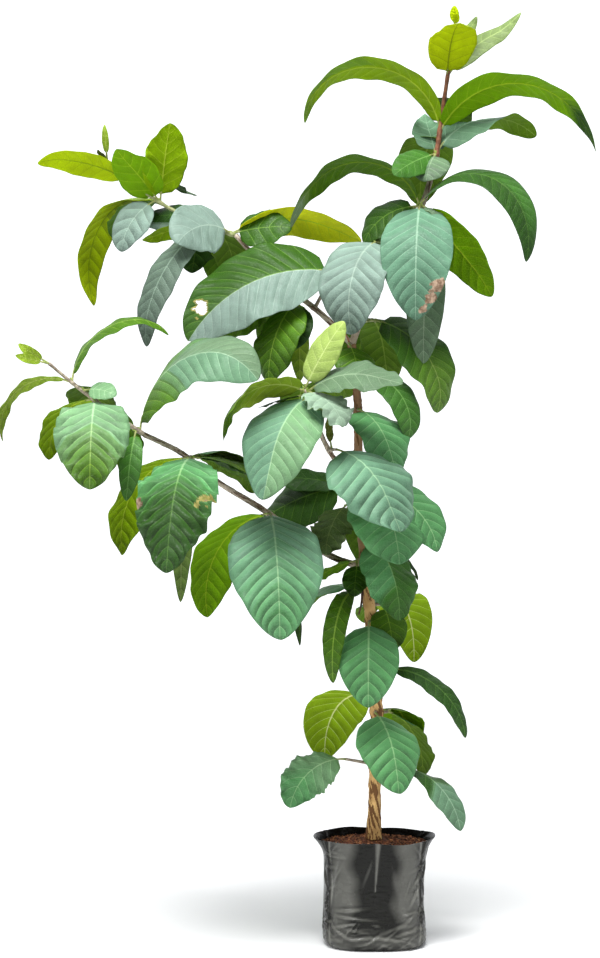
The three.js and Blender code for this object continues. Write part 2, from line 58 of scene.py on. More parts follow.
# %% The camera
EYE = (-71.25, -2700, 612)
AIM = (-71.25, 0, 446)
LENS = 106.8  # millimetres
SENSOR = 36  # millimetres, along the tall side of the picture


def facing(place, target):
    """The turn of a camera or a lamp that stands at one place and faces another."""
    return (Vector(target) - Vector(place)).to_track_quat("-Z", "Y").to_euler()


camera_data = bpy.data.cameras.new("viewer")
camera_data.lens = LENS
camera_data.sensor_width = SENSOR
camera = bpy.data.objects.new("viewer", camera_data)
camera.location = Vector(EYE) * MM
camera.rotation_euler = facing(EYE, AIM)
scene.collection.objects.link(camera)
scene.camera = camera
print("the eye is", round((Vector(AIM) - Vector(EYE)).length * MM, 2), "m from the plant")

# %% [markdown]
# ## Soft light
#
# Waxy leaves show the sky: where a blade lies flat it turns grey-blue, and where it hangs its
# own green comes back. So most light comes from a pale surround and a wide panel overhead, and
# a weaker one in front fills the shaded undersides. Two upright strips beside the bag shine on the
# creases of its glossy film, and painted highlights in the film's colour add the bright lines by
# which the eye reads its folds.

# %% World and panels
SURROUND = (0.94, 0.97, 1.0)
SURROUND_LIGHT = 0.34
PANELS = {  # place and aim in metres, width and height, power
    "overhead": ((-0.3, -0.9, 2.6), (-0.1, 0, 0.5), (1.2, 1.2), 104),
    "front_left": ((-2.0, -1.9, 1.3), (-0.1, 0, 0.5), (0.8, 1.2), 20),
    "strip_left": ((-1.05, -1.5, 0.35), (0, 0, 0.1), (0.16, 1.1), 5),
    "strip_right": ((1.25, -1.2, 0.4), (0, 0, 0.1), (0.16, 1.1), 6),
}

world = bpy.data.worlds.new("pale surround")
world.use_nodes = True
background = world.node_tree.nodes["Background"].inputs
background["Color"].default_value = (*SURROUND, 1)
background["Strength"].default_value = SURROUND_LIGHT
scene.world = world
scene.view_settings.view_transform = "Standard"

for name, (place, target, size, power) in PANELS.items():
    light = bpy.data.lights.new(name, "AREA")
    light.shape = "RECTANGLE"
    light.size, light.size_y = size
    light.energy = power
    panel = bpy.data.objects.new(name, light)
    panel.location = place
    panel.rotation_euler = facing(place, target)
    scene.collection.objects.link(panel)
print(len(PANELS), "panels of light")

# %% [markdown]
# ## Shader maths in plain Python
#
# A material in Blender is a graph of nodes. Written node by node it is long and hard to read,
# so one small class wraps an output and lets Python's own operators add the Math nodes, and one
# method adds every other kind of node. What the mesh itself knows, such as how high a flake
# stands, reaches a finish as a number kept for each point.

# %% Wires and finishes
FINISHES = {}  # every finish by its name, which the cells below fill


class Wire:
    """A number on its way through a shader. Sums on it add Math nodes."""

    def __init__(self, finish, socket):
        self.finish = finish
        self.socket = socket

    def maths(self, operation, *values):
        node = self.finish.add("ShaderNodeMath", {"operation": operation}, dict(enumerate(values)))
        return Wire(self.finish, node.outputs[0])

    def __add__(self, other):
        return self.maths("ADD", self, other)

    def __mul__(self, other):
        return self.maths("MULTIPLY", self, other)

    def __sub__(self, other):
        return self.maths("SUBTRACT", self, other)

    def __rsub__(self, other):
        return self.maths("SUBTRACT", other, self)

    __radd__ = __add__
    __rmul__ = __mul__

    def between(self, low, high):
        """0 below low, 1 above high and a smooth step between them."""
        node = self.finish.add("ShaderNodeMapRange", {"interpolation_type": "SMOOTHSTEP"},
                               {"Value": self, "From Min": low, "From Max": high})
        return Wire(self.finish, node.outputs["Result"])


class Finish:
    """One material: a Principled shader with its constants, and one way to add other nodes."""

    def __init__(self, name, constants):
        self.material = bpy.data.materials.new(name.replace("_", " "))
        self.material.use_nodes = True
        self.tree = self.material.node_tree
        self.shader = self.tree.nodes["Principled BSDF"]
        for socket, value in constants.items():
            self.shader.inputs[socket].default_value = value
        FINISHES[name] = self

    def add(self, kind, settings=None, inputs=None):
        node = self.tree.nodes.new(kind)
        for name, value in (settings or {}).items():
            setattr(node, name, value)
        for name, value in (inputs or {}).items():
            self.plug(node.inputs[name], value)
        return node

    def plug(self, socket, value):
        if isinstance(value, Wire):
            value = value.socket
        if isinstance(value, bpy.types.NodeSocket):
            self.tree.links.new(value, socket)
        else:
            socket.default_value = value

    def attribute(self, name):
        """A number that the mesh keeps for each of its points."""
        return Wire(self, self.add("ShaderNodeAttribute", {"attribute_name": name}).outputs["Fac"])

    def pattern(self, kind, scale, stretch=(1, 1, 1), settings=None, inputs=None):
        """A texture fixed to the piece, with scale in cells a metre."""
        place = self.add("ShaderNodeTexCoord").outputs["Object"]
        mapped = self.add("ShaderNodeMapping", inputs={"Vector": place, "Scale": stretch})
        texture = self.add(kind, settings, {
            "Vector": mapped.outputs[0], "Scale": scale, **(inputs or {})})
        return Wire(self, texture.outputs[0])

    def mix(self, first, second, share):
        """A blend of two colours."""
        node = self.add("ShaderNodeMix", {"data_type": "RGBA"}, {0: share, 6: first, 7: second})
        return node.outputs[2]

    def bump(self, height, depth, strength=1.0):
        """Raises the surface by depth metres where height is 1."""
        node = self.add("ShaderNodeBump", inputs={
            "Height": height, "Distance": depth, "Strength": strength})
        self.plug(self.shader.inputs["Normal"], node.outputs[0])

    def set(self, **sockets):
        for name, value in sockets.items():
            self.plug(self.shader.inputs[name.replace("_", " ")], value)


def srgb(red, green, blue, light=1.0):
    """A colour as a painter names it, 0 to 255, as the linear light a shader counts in."""
    def linear(value):
        value = value / 255
        return value / 12.92 if value <= 0.04045 else ((value + 0.055) / 1.055) ** 2.4
    return tuple(min(1.0, linear(v) * light) for v in (red, green, blue)) + (1.0,)


print("mid leaf green is", [round(v, 3) for v in srgb(90, 150, 100)])

# %% [markdown]
# ## The floor
#
# The plant stands on a sheet of pale card. A second sheet hangs far behind it and glows a little,
# so that the far edge of the floor melts into white and the undersides of leaves get its light.

# %% Pale floor and backdrop
FLOOR_HALF = 1.4
BACKDROP = {"behind": 7.0, "half": 9.0, "foot": -4.0, "top": 9.0}
GLOW = {"Emission Color": (0.96, 0.98, 1.0, 1.0), "Emission Strength": 0.93}
CARD = ((0.93, 0.935, 0.94, 1), (0.95, 0.95, 0.95, 1))  # two pale greys, finely flecked


def card(name, corners, **constants):
    """A flat sheet of pale card, which is no part of the plant."""
    finish = Finish(name, {"Roughness": 0.9, "Specular IOR Level": 0.1, **constants})
    fleck = finish.pattern("ShaderNodeTexNoise", 40)
    finish.set(Base_Color=finish.mix(*CARD, fleck))
    mesh = bpy.data.meshes.new(name)
    mesh.from_pydata(corners, [], [(0, 1, 2, 3)])
    mesh.materials.append(finish.material)
    sheet = bpy.data.objects.new(name, mesh)
    scene.collection.objects.link(sheet)


square = ((-1, -1), (1, -1), (1, 1), (-1, 1))
card("floor", [(x * FLOOR_HALF, y * FLOOR_HALF, 0) for x, y in square])
card("backdrop", [(x * BACKDROP["half"], BACKDROP["behind"], BACKDROP["foot" if z < 0 else "top"])
                  for x, z in square], **GLOW)
print("the floor is", 2 * FLOOR_HALF, "m wide")

# %% [markdown]
# ## One way to make a mesh
#
# Every piece of this plant is either a tube along a path or a grid of points. Numpy works out
# all the points of such a shape at once, and one collector turns the shapes of a piece into
# a single mesh with a material for each kind of face.

# %% A collector of shapes
class Build:
    """Collects points and faces, each face with the finish it takes, and makes one mesh."""

    def __init__(self):
        self.points = []
        self.faces = []  # for each shape: corners, finish names, smooth or not
        self.shades = []  # for the points of a blade: 0 in the dark, 1 in the light
        self.count = 0

    def add(self, points, faces, finish, smooth=True):
        """points is (n, 3) in millimetres and faces (m, corners). finish is one name or m names."""
        self.points.append(np.asarray(points).reshape(-1, 3))
        self.count += len(self.points[-1])
        self.more(faces, finish, smooth)

    def more(self, faces, finish, smooth=True):
        """Further faces on the points of the last shape."""
        start = self.count - len(self.points[-1])
        names = np.broadcast_to(finish, len(faces))
        self.faces.append((np.asarray(faces) + start, names, smooth))

    def piece(self, name, slot, node, attributes=None):
        """Makes the object, which rides on the plant in place of a node of the frame."""
        points = np.concatenate(self.points)
        corners = np.concatenate([faces.ravel() for faces, _, _ in self.faces])
        sizes = np.concatenate([np.full(len(f), f.shape[1]) for f, _, _ in self.faces])
        names = np.concatenate([names for _, names, _ in self.faces])
        smooth = np.concatenate([np.full(len(f), s) for f, _, s in self.faces])
        used, corners = np.unique(corners, return_inverse=True)
        kinds, kind = np.unique(names, return_inverse=True)
        mesh = bpy.data.meshes.new(name)
        mesh.vertices.add(len(used))
        mesh.vertices.foreach_set("co", (points[used] * MM).ravel())
        mesh.loops.add(len(corners))
        mesh.loops.foreach_set("vertex_index", corners.ravel())
        mesh.polygons.add(len(sizes))
        mesh.polygons.foreach_set("loop_start", np.concatenate([[0], np.cumsum(sizes)[:-1]]))
        mesh.polygons.foreach_set("material_index", kind.ravel())
        mesh.polygons.foreach_set("use_smooth", smooth)
        for kind_name in kinds:
            mesh.materials.append(FINISHES[str(kind_name)].material)
        for attribute, values in (attributes or {}).items():
            layer = mesh.attributes.new(attribute, "FLOAT", "POINT")
            layer.data.foreach_set("value", np.asarray(values).ravel()[used])
        mesh.update(calc_edges=True)
        made = bpy.data.objects.new(name, mesh)
        scene.collection.objects.link(made)
        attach(made, "root")
        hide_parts(node)
        print(name, "has", len(sizes), "faces")


# %% [markdown]
# ## Tubes
#
# A limb, a twig and a petiole are the same thing at different sizes: rings about a path. The
# rings must not twist, so the sideways direction is carried from one ring to the next and
# only straightened against the new heading.

# %% Rings along a path
def unit(vectors):
    return vectors / np.linalg.norm(vectors, axis=-1, keepdims=True)


def round_angles(count):
    """Evenly spaced angles round a ring."""
    return np.linspace(0, 2 * np.pi, count, endpoint=False)


def sideways(path):
    """Two directions square to a path and to each other, at each of its places."""
    ways = unit(np.gradient(path, axis=0))
    side = np.cross(ways[0], (0.0, 1.0, 0.0))
    sides = []
    for way in ways:
        side = side - way * np.dot(side, way)
        side = side / np.linalg.norm(side)
        sides.append(side)
    return np.array(sides), np.cross(ways, sides)


def tube_points(path, radii):
    """Rings about a path. radii is (places, sides)."""
    sides, overs = sideways(path)
    angles = round_angles(radii.shape[1])
    flat = radii[:, :, None] * np.cos(angles)[None, :, None] * sides[:, None, :]
    tall = radii[:, :, None] * np.sin(angles)[None, :, None] * overs[:, None, :]
    return path[:, None, :] + flat + tall


def ring_faces(rings, count):
    """Quads between neighbouring rings of points, each ring closed on itself."""
    k = np.arange(count)
    rows = np.arange(rings - 1)[:, None] * count
    a, b = rows + k, rows + (k + 1) % count
    return np.stack([a, b, b + count, a + count], axis=-1).reshape(-1, 4)


def add_rings(build, points, ends, finish, smooth_ends=False):
    """A closed skin through rings of points, (rings, count, 3), and a fan at each of its ends."""
    rings, count, _ = points.shape
    build.add(np.concatenate([points.reshape(-1, 3), ends]), ring_faces(rings, count), finish)
    k = np.arange(count)
    after = (k + 1) % count
    foot, last = rings * count, (rings - 1) * count
    first_fan = np.stack([np.full(count, foot), after, k], axis=-1)
    last_fan = np.stack([np.full(count, foot + 1), last + k, last + after], axis=-1)
    build.more(np.concatenate([first_fan, last_fan]), finish, smooth_ends)


def add_tube(build, path, radii, finish):
    add_rings(build, tube_points(path, radii), [path[0], path[-1]], finish)


print("a ring of 12 points has", len(ring_faces(2, 12)), "faces to the next")

# %% [markdown]
# ## The bag
#
# A nursery bag is a tube of black polythene with a gusset on each side, filled until it is
# nearly round. The fold lines of the gussets stay as four upright ridges, the rim flares at
# its two side folds, the weight of the soil wrinkles the film near the floor, and the corners
# at the foot stay crumpled. The outline is the one of the frame; on it every wrinkle is
# a small ridge with a groove beside it, placed by its angle round the bag and its height.

# %% Sizes of the bag and the soil
BAG = {
    "half_wide": 49.5, "half_deep": 46, "height": 104, "film": 0.5,
    "square": 2.7,  # exponent of the outline: 2 is an ellipse, more is squarer
    "corner": 9, "drawn_in": 0.75, "waist": 1.5,
    "ear": 9, "ear_drop": 22, "ear_narrow": 5,
}
SOIL = {"level": 100, "edge_drop": 3.5, "flat": 16, "edge": 96}
FRONT = 270  # degrees round the bag, counted from its right side


def bag_points(angle, height, inset=0.0):
    """Places on the film for arrays of angles in radians and heights."""
    low = np.maximum(0, 1 - height / BAG["corner"])
    rounding = BAG["corner"] * (1 - np.sqrt(np.maximum(0, 1 - low * low)))
    flare = np.maximum(0, 1 - (BAG["height"] - height) / BAG["ear_drop"]) ** 2
    level = np.clip(height, 0, BAG["height"]) / BAG["height"]
    pull = inset + rounding * BAG["drawn_in"] + BAG["waist"] * np.sin(np.pi * level) ** 2
    c, s = np.cos(angle), np.sin(angle)
    square = BAG["square"]
    squared = (np.abs(c) ** square + np.abs(s) ** square) ** (-1 / square)
    ear = BAG["ear"] * flare * np.abs(c) ** BAG["ear_narrow"]
    x = c * squared * (BAG["half_wide"] - pull + ear)
    y = s * squared * (BAG["half_deep"] - pull)
    return np.stack(np.broadcast_arrays(x, y, height + 0 * x), axis=-1)


print("the rim is", round(2 * bag_points(0.0, BAG["height"])[0]), "mm from ear to ear")

# %% Wrinkles of the film
ROUND = 48  # mean radius, which turns an angle into millimetres along the film
RIDGES = [33.4, 146.6, 213.4, 326.6]  # the folds of the two gussets
WRINKLES = [  # angle, height, half length, slope, depth, half width
    (240, 38, 13, 0.12, 0.9, 1.9), (246, 31, 16, -0.10, 1.1, 1.7), (238, 24, 12, 0.25, 0.9, 1.5),
    (250, 19, 12, -0.16, 0.7, 1.7), (256, 12, 18, 0.05, 0.7, 1.9), (232, 16, 9, -0.5, 0.9, 1.5),
    (292, 21, 10, 0.4, 0.6, 1.9), (301, 16, 8, 0.3, 0.6, 1.5), (286, 11, 14, -0.10, 0.7, 1.7),
    (310, 30, 7, 0.8, 0.5, 1.6), (318, 52, 10, 1.6, 1.1, 1.8), (322, 68, 9, 1.2, 1.2, 1.7),
    (333, 60, 8, -1.1, 1.2, 1.7), (338, 74, 8, 1.4, 1.0, 1.8), (331, 84, 7, -0.9, 0.9, 1.5),
    (328, 38, 9, 1.0, 1.1, 1.7), (262, 72, 11, 2.4, 0.8, 2.6), (226, 70, 12, 3.0, 0.7, 3.0),
    (292, 60, 16, -3.2, 0.7, 3.4), (205, 46, 9, 1.2, 1.1, 1.9), (198, 66, 9, -1.3, 1.2, 1.9),
]
CRUMPLES = {
    "seed": 31, "count": 190, "low_share": 0.6, "low": (2, 26), "high": (10, 98), "by_fold": 9,
    "half": (3, 9), "low_slope": 0.7, "high_slope": 1.6, "depth": (0.25, 0.8), "wide": (0.8, 1.8),
}
SHARPER = 1.35  # deepens every wrinkle alike
GUSSET = {
    "sway": 0.8, "sway_every": 9, "ridge": 1.1, "ridge_wide": 1.3,
    "groove": 0.5, "groove_aside": 3, "groove_wide": 1.6,
}
PLEAT = {
    "from": 58, "tall": 45, "opens": 4.2, "ridge": 1.0, "ridge_wide": 1.2,
    "groove": 1.2, "groove_wide": 1.5,
}
STEADY = 3  # the lowest millimetres, where the flat foot keeps still


def bell(x):
    """1 at zero, and soon nothing on both sides."""
    return np.exp(-x ** 2)


def ramp(x):
    """From 0 to 1, and level before and after."""
    return np.clip(x, 0, 1)


def crumple_list():
    """Small seeded wrinkles, most of them low down and by the gussets' folds."""
    draw = np.random.default_rng(CRUMPLES["seed"])
    rows = []
    for _ in range(CRUMPLES["count"]):
        if draw.random() < CRUMPLES["low_share"]:
            angle, height = draw.uniform(0, 360), draw.uniform(*CRUMPLES["low"])
            lean = CRUMPLES["low_slope"]
        else:
            angle = draw.choice(RIDGES) + draw.normal(0, CRUMPLES["by_fold"])
            height, lean = draw.uniform(*CRUMPLES["high"]), CRUMPLES["high_slope"]
        rows.append((angle, height, draw.uniform(*CRUMPLES["half"]), draw.normal(0, lean),
                     draw.uniform(*CRUMPLES["depth"]), draw.uniform(*CRUMPLES["wide"])))
    return rows


def along_film(degrees, centre):
    """Millimetres along the film from one angle to others, the shorter way round."""
    return ((degrees - centre + 180) % 360 - 180) * math.pi / 180 * ROUND


def pleat_open(height, most):
    """The pleat below the rim is widest at the top and closes downwards."""
    return ramp((height - PLEAT["from"]) / PLEAT["tall"]) * most


def film_relief(angle, height):
    """How far the film stands out, in millimetres, for arrays of angles and heights."""
    degrees = np.degrees(angle)
    out = np.zeros(np.broadcast(angle, height).shape)
    for centre, level, half, slope, depth, wide in WRINKLES + crumple_list():
        along = along_film(degrees, centre)
        lean = math.hypot(1, slope)
        across = (height - level - slope * along) / lean / wide
        ridge = bell(across) - 0.8 * bell(across - 1.3)
        out += SHARPER * depth * bell(along * lean / half) * ridge
    for fold in RIDGES:
        sway = GUSSET["sway"] * np.sin(height / GUSSET["sway_every"] + fold)
        along = along_film(degrees, fold) + sway
        groove = bell((np.abs(along) - GUSSET["groove_aside"]) / GUSSET["groove_wide"])
        out += GUSSET["ridge"] * bell(along / GUSSET["ridge_wide"]) - GUSSET["groove"] * groove
    pleat = along_film(degrees, FRONT)
    lip = bell((pleat - pleat_open(height, PLEAT["opens"])) / PLEAT["ridge_wide"])
    out += PLEAT["ridge"] * lip - PLEAT["groove"] * bell(pleat / PLEAT["groove_wide"])
    soft = 0.7 * np.sin(3 * angle + height / 21) * np.sin(2 * angle - height / 34)
    return (out + soft) * ramp(height / STEADY)


print(len(WRINKLES) + CRUMPLES["count"], "wrinkles")

# %% [markdown]
# Black polythene is never quite black: it is a dark warm grey. Its broad soft sheen and the thin
# bright lines on its creases are painted reflection in its colour. How grey each place is goes with
# the shape, so it is worked out with the mesh and kept there for each point. Fine cross wrinkles
# that are too small for the mesh are a bump.

# %% The film
film = Finish("black_film", {"Specular IOR Level": 0.16, "Coat Roughness": 0.1})
# painted reflection, kept by the mesh for each point of the film: 0 black, 1 grey
painted_sheen = film.attribute("painted_sheen")
dust_and_sheen_patches = film.pattern("ShaderNodeTexNoise", 60, inputs={"Detail": 4.0})
crinkle = film.pattern("ShaderNodeTexNoise", 130, stretch=(1, 1, 2.6), inputs={"Detail": 5.0})
stretch_marks = film.pattern("ShaderNodeTexNoise", 45, stretch=(2.5, 2.5, 0.5))
# painted reflection: the black film is coloured grey where the painted sheen is high, in patches
film.set(
    Base_Color=film.mix(srgb(14, 14, 11), srgb(112, 112, 106), painted_sheen * (0.55 + dust_and_sheen_patches * 0.9)),
    Coat_Weight=0.05 + painted_sheen * 0.25,
    Roughness=0.2 + dust_and_sheen_patches * 0.14)
film.bump(crinkle * 0.8 + stretch_marks * 0.7, 0.0013, 0.7)
print("the film's sockets:", ", ".join(link.to_socket.name for link in film.tree.links
                                       if link.to_node == film.shader))

# %% The bag's mesh
BAG_AROUND = 300
BAG_STEP = 1.2  # between rings up the side
CORNER_RINGS = 10
# painted reflection on the film: how grey each part is painted, and where it lies
PAINTED_SHEEN = {  # greys from 0 to 1, with their places: aside from the middle, or above the foot
    "band": 0.45, "band_from": 15, "band_to": 44, "foot": 0.42, "foot_to": 24, "pleat": 0.6,
    "pleat_opens": 5, "painted_glint": 0.9, "glint_aside": 42, "glint_wide": 0.8, "crease": (-0.16, 0.28),
}
RIM_UNEVEN_FROM = 92


def bag_heights():
    foot = BAG["corner"] * (1 - np.cos(np.linspace(0, np.pi / 2, CORNER_RINGS)))
    side = np.arange(BAG["corner"] + BAG_STEP, BAG["height"], BAG_STEP)
    return np.concatenate([foot, side, [BAG["height"]]])


def film_sheen(points, relief):
    """Painted reflection on the film: a grey band by each side fold, one above the foot, the pleat,
    glints.
    """
    x, height = points[..., 0], points[..., 2]
    aside = np.abs(x)
    edge = PAINTED_SHEEN["band_from"] + 2.5 * np.sin(height / 11) + 1.5 * np.sin(height / 4.3 + 1)
    band = ramp((aside - edge) / 11) * ramp((PAINTED_SHEEN["band_to"] - aside) / 6) * PAINTED_SHEEN["band"]
    foot = ramp((PAINTED_SHEEN["foot_to"] - height) / 14) * ramp((height - 2) / 5) * PAINTED_SHEEN["foot"]
    line = bell((aside - PAINTED_SHEEN["glint_aside"] - 1.5 * np.sin(height / 13)) / PAINTED_SHEEN["glint_wide"])
    painted_glint = line * (0.5 + 0.5 * np.sin(height / 7)) * PAINTED_SHEEN["painted_glint"]
    wide = pleat_open(height, PAINTED_SHEEN["pleat_opens"])
    pleat = ramp(1.2 - np.abs(x - wide / 2) / (wide / 2 + 0.3)) * (wide > 0) * PAINTED_SHEEN["pleat"]
    front = np.where(points[..., 1] < 0, pleat, 0)
    # painted light and shade along the wrinkles, worked out from the slope of their relief
    painted_crease_lines = np.clip(np.gradient(relief, axis=0) * -0.6, *PAINTED_SHEEN["crease"])
    return ramp(np.maximum(np.maximum(band, foot), front) + painted_glint + painted_crease_lines)


def film_ring_grid(heights, inset):
    angle = round_angles(BAG_AROUND)[None, :]
    height = heights[:, None]
    relief = film_relief(angle, height)
    points = bag_points(angle, height, inset - relief)
    uneven = 0.7 * np.sin(3 * angle + 1) + 0.4 * np.sin(7 * angle) - 0.8
    rim = ramp((height - RIM_UNEVEN_FROM) / (BAG["height"] - RIM_UNEVEN_FROM))
    points[..., 2] += uneven * rim
    return points, relief


def make_bag():
    build = Build()
    heights = bag_heights()
    outer, relief = film_ring_grid(heights, 0)
    inner, _ = film_ring_grid(heights[::-1], BAG["film"])
    inner[..., 2] = np.maximum(inner[..., 2], BAG["film"])
    ends = [(0, 0, 0), (0, 0, BAG["film"])]
    add_rings(build, np.concatenate([outer, inner]), ends, "black_film")
    painted_sheen_here = np.append(film_sheen(outer, relief), np.zeros(inner.size // 3 + len(ends)))
    build.piece("grow_bag_film", "bag_film", "grow_bag", {"painted_sheen": painted_sheen_here})


make_bag()

# %% [markdown]
# ## The soil
#
# Cocopeat is a crumbly mix of red-brown grains and short fibres. A gently mounded surface alone
# would look like mud, so loose grains of many shapes are pressed into it, with fibres on top.

# %% The soil's colours
soil = Finish("damp_cocopeat", {"Roughness": 0.95, "Specular IOR Level": 0.2})
clods = soil.pattern("ShaderNodeTexNoise", 260, inputs={"Detail": 6.0, "Roughness": 0.65})
specks = soil.pattern("ShaderNodeTexVoronoi", 700)
soil.set(Base_Color=soil.mix(srgb(44, 27, 20), srgb(132, 84, 60), clods.between(0.35, 0.7)))
soil.bump(clods + specks * 0.6, 0.0012)

GRAIN_TINTS = {"grain_dark": (54, 32, 24), "grain_red": (116, 70, 50), "grain_pale": (176, 118, 80)}
for grain_name, tint in GRAIN_TINTS.items():
    grain = Finish(grain_name, {"Specular IOR Level": 0.25})
    rough = grain.pattern("ShaderNodeTexNoise", 900)
    grain.set(Base_Color=grain.mix(srgb(*tint, 0.75), srgb(*tint, 1.2), rough),
              Roughness=0.8 + rough * 0.15)
print(len(GRAIN_TINTS), "kinds of grain")

# %% The soil's mesh
GRAINS = {"seed": 7, "count": 1500, "size": (0.5, 1.6), "level": 97, "sunk": 0.15}
FIBRES = {"count": 150, "length": (3, 9), "places": 6, "radius": 0.22, "above": 0.45}
SKIRT = {"foot": 86.0, "inset": 9}  # the soil's side stays well behind the wrinkled film
SOIL_AROUND = 160
SOIL_RINGS = 46


def soil_height(x, y):
    """Height of the surface at one place: a low mound, uneven, with a dip by the film."""
    reach = min(1.0, max(0.0, (math.hypot(x, y) - SOIL["flat"]) / 30))
    lumps = noise.fractal(Vector((x, y, 3)) * 0.09, 1.0, 2.2, 5)
    return SOIL["level"] - SOIL["edge_drop"] * reach + 1.3 * lumps - 0.4


def soil_bits():
    """Loose grains: twelve-cornered lumps, each squashed, turned and tinted by its own draws."""
    golden = (1 + 5 ** 0.5) / 2
    lump = unit(np.array([(-1, golden, 0), (1, golden, 0), (-1, -golden, 0), (1, -golden, 0),
                          (0, -1, golden), (0, 1, golden), (0, -1, -golden), (0, 1, -golden),
                          (golden, 0, -1), (golden, 0, 1), (-golden, 0, -1), (-golden, 0, 1)]))
    faces = np.array([(0, 11, 5), (0, 5, 1), (0, 1, 7), (0, 7, 10), (0, 10, 11), (1, 5, 9),
                      (5, 11, 4), (11, 10, 2), (10, 7, 6), (7, 1, 8), (3, 9, 4), (3, 4, 2),
                      (3, 2, 6), (3, 6, 8), (3, 8, 9), (4, 9, 5), (2, 4, 11), (6, 2, 10),
                      (8, 6, 7), (9, 8, 1)])
    draw = np.random.default_rng(GRAINS["seed"])
    build = Build()
    for _ in range(GRAINS["count"]):
        angle = draw.uniform(0, 2 * math.pi)
        share = draw.uniform(0.13, 0.94) ** 0.6
        x, y = (bag_points(angle, GRAINS["level"], 1.5) * share)[:2]
        size = draw.uniform(*GRAINS["size"]) * draw.uniform(0.5, 1)
        shape = lump * draw.uniform(0.6, 1.25, 12)[:, None] * draw.uniform(0.55, 1.3, 3) * size
        turn, _ = np.linalg.qr(draw.normal(size=(3, 3)))
        place = (x, y, soil_height(x, y) + GRAINS["sunk"] * size)
        tint = draw.choice(["grain_dark", "grain_red", "grain_red", "grain_pale"])
        outward = faces if np.linalg.det(turn) > 0 else faces[:, ::-1]
        build.add(shape @ turn.T + place, outward, str(tint), smooth=False)
    return build, draw


def make_soil():
    build = Build()
    angle = round_angles(SOIL_AROUND)
    edge = bag_points(angle, SOIL["edge"], BAG["film"] + 0.4 - film_relief(angle, SOIL["edge"]))
    shares = np.linspace(1, 0.02, SOIL_RINGS)
    rings = edge[None] * shares[:, None, None]
    for point in rings.reshape(-1, 3):
        point[2] = soil_height(point[0], point[1])
    foot = bag_points(angle, SKIRT["foot"], SKIRT["inset"])
    ends = [(0, 0, SKIRT["foot"]), (0, 0, soil_height(0, 0))]
    add_rings(build, np.concatenate([foot[None], rings]), ends, "damp_cocopeat", smooth_ends=True)
    build.piece("soil_surface", "soil", "soil")

    bits, draw = soil_bits()
    for _ in range(FIBRES["count"]):
        angle = draw.uniform(0, 2 * math.pi)
        x, y = (bag_points(angle, GRAINS["level"], 3) * draw.uniform(0.2, 0.85))[:2]
        heading = draw.uniform(0, 2 * math.pi)
        steps = np.linspace(0, draw.uniform(*FIBRES["length"]), FIBRES["places"])
        bend = heading + steps * draw.normal(0, 0.12)
        path = np.stack([x + steps * np.cos(bend), y + steps * np.sin(bend), 0 * steps], axis=-1)
        for place in path:
            place[2] = soil_height(place[0], place[1]) + FIBRES["above"]
        radii = np.full((FIBRES["places"], 3), FIBRES["radius"])
        radii[[0, -1]] *= 0.4
        add_tube(bits, path, radii, str(draw.choice(["grain_red", "grain_pale"])))
    bits.piece("soil_crumbs", "soil", "soil")


make_soil()

# %% [markdown]
# ## Trunk and boughs
#
# Each limb follows a smooth curve through its marks and tapers between the radii given there.
# It is the same curve as in the frame, so the bark lies where the solid was. The old bark at the
# foot peels: tan wood shows between dark flakes that run round the trunk in a steep spiral.
# The flakes are raised in the mesh, and their height is kept for each point, so that the colour
# can follow them exactly.

# %% Marks and radii of the limbs, in millimetres
TRUNK_FOOT = 100.3
LIMBS = {
    "trunk": (
        [(0, 0, TRUNK_FOOT), (0, 0, 125), (0.5, 0, 160), (2, -1, 218), (-0.5, -2, 272),
         (-4.5, -3, 318), (-11, -4, 385), (-15.5, -4, 450), (-16, -2, 505), (-18, 1, 540),
         (-22, 5, 574)],
        [6.2, 6.0, 5.9, 5.8, 5.7, 5.5, 5.0, 4.6, 4.1, 3.8, 3.6]),
    "leader_bough": (
        [(-22, 5, 574), (-8, 9, 612), (15, 13, 652), (37, 15, 688), (46, 17, 709), (52, 18, 727),
         (58, 19, 750)],
        [3.5, 3.3, 3.1, 2.9, 2.7, 2.6, 2.5]),
    "upper_left_bough": (
        [(-22, 5, 574), (-50, 12, 602), (-75, 18, 622), (-107, 24, 650), (-133, 28, 678)],
        [3.0, 2.8, 2.6, 2.3, 2.1]),
    "middle_bough": (
        [(-16, -4, 446), (-38, -30, 466), (-52, -52, 492), (-61, -66, 523)],
        [2.6, 2.4, 2.2, 2.0]),
    "low_left_bough": (
        [(-11, -4, 362), (-48, -16, 377), (-107, -36, 420), (-145, -46, 444), (-181, -54, 473),
         (-216, -60, 491)],
        [3.2, 3.0, 2.8, 2.6, 2.5, 2.3]),
}
FLARE = {"deep": 2.2, "height": 30, "lobes": 5, "ridge": 0.4, "curl": 1.5}


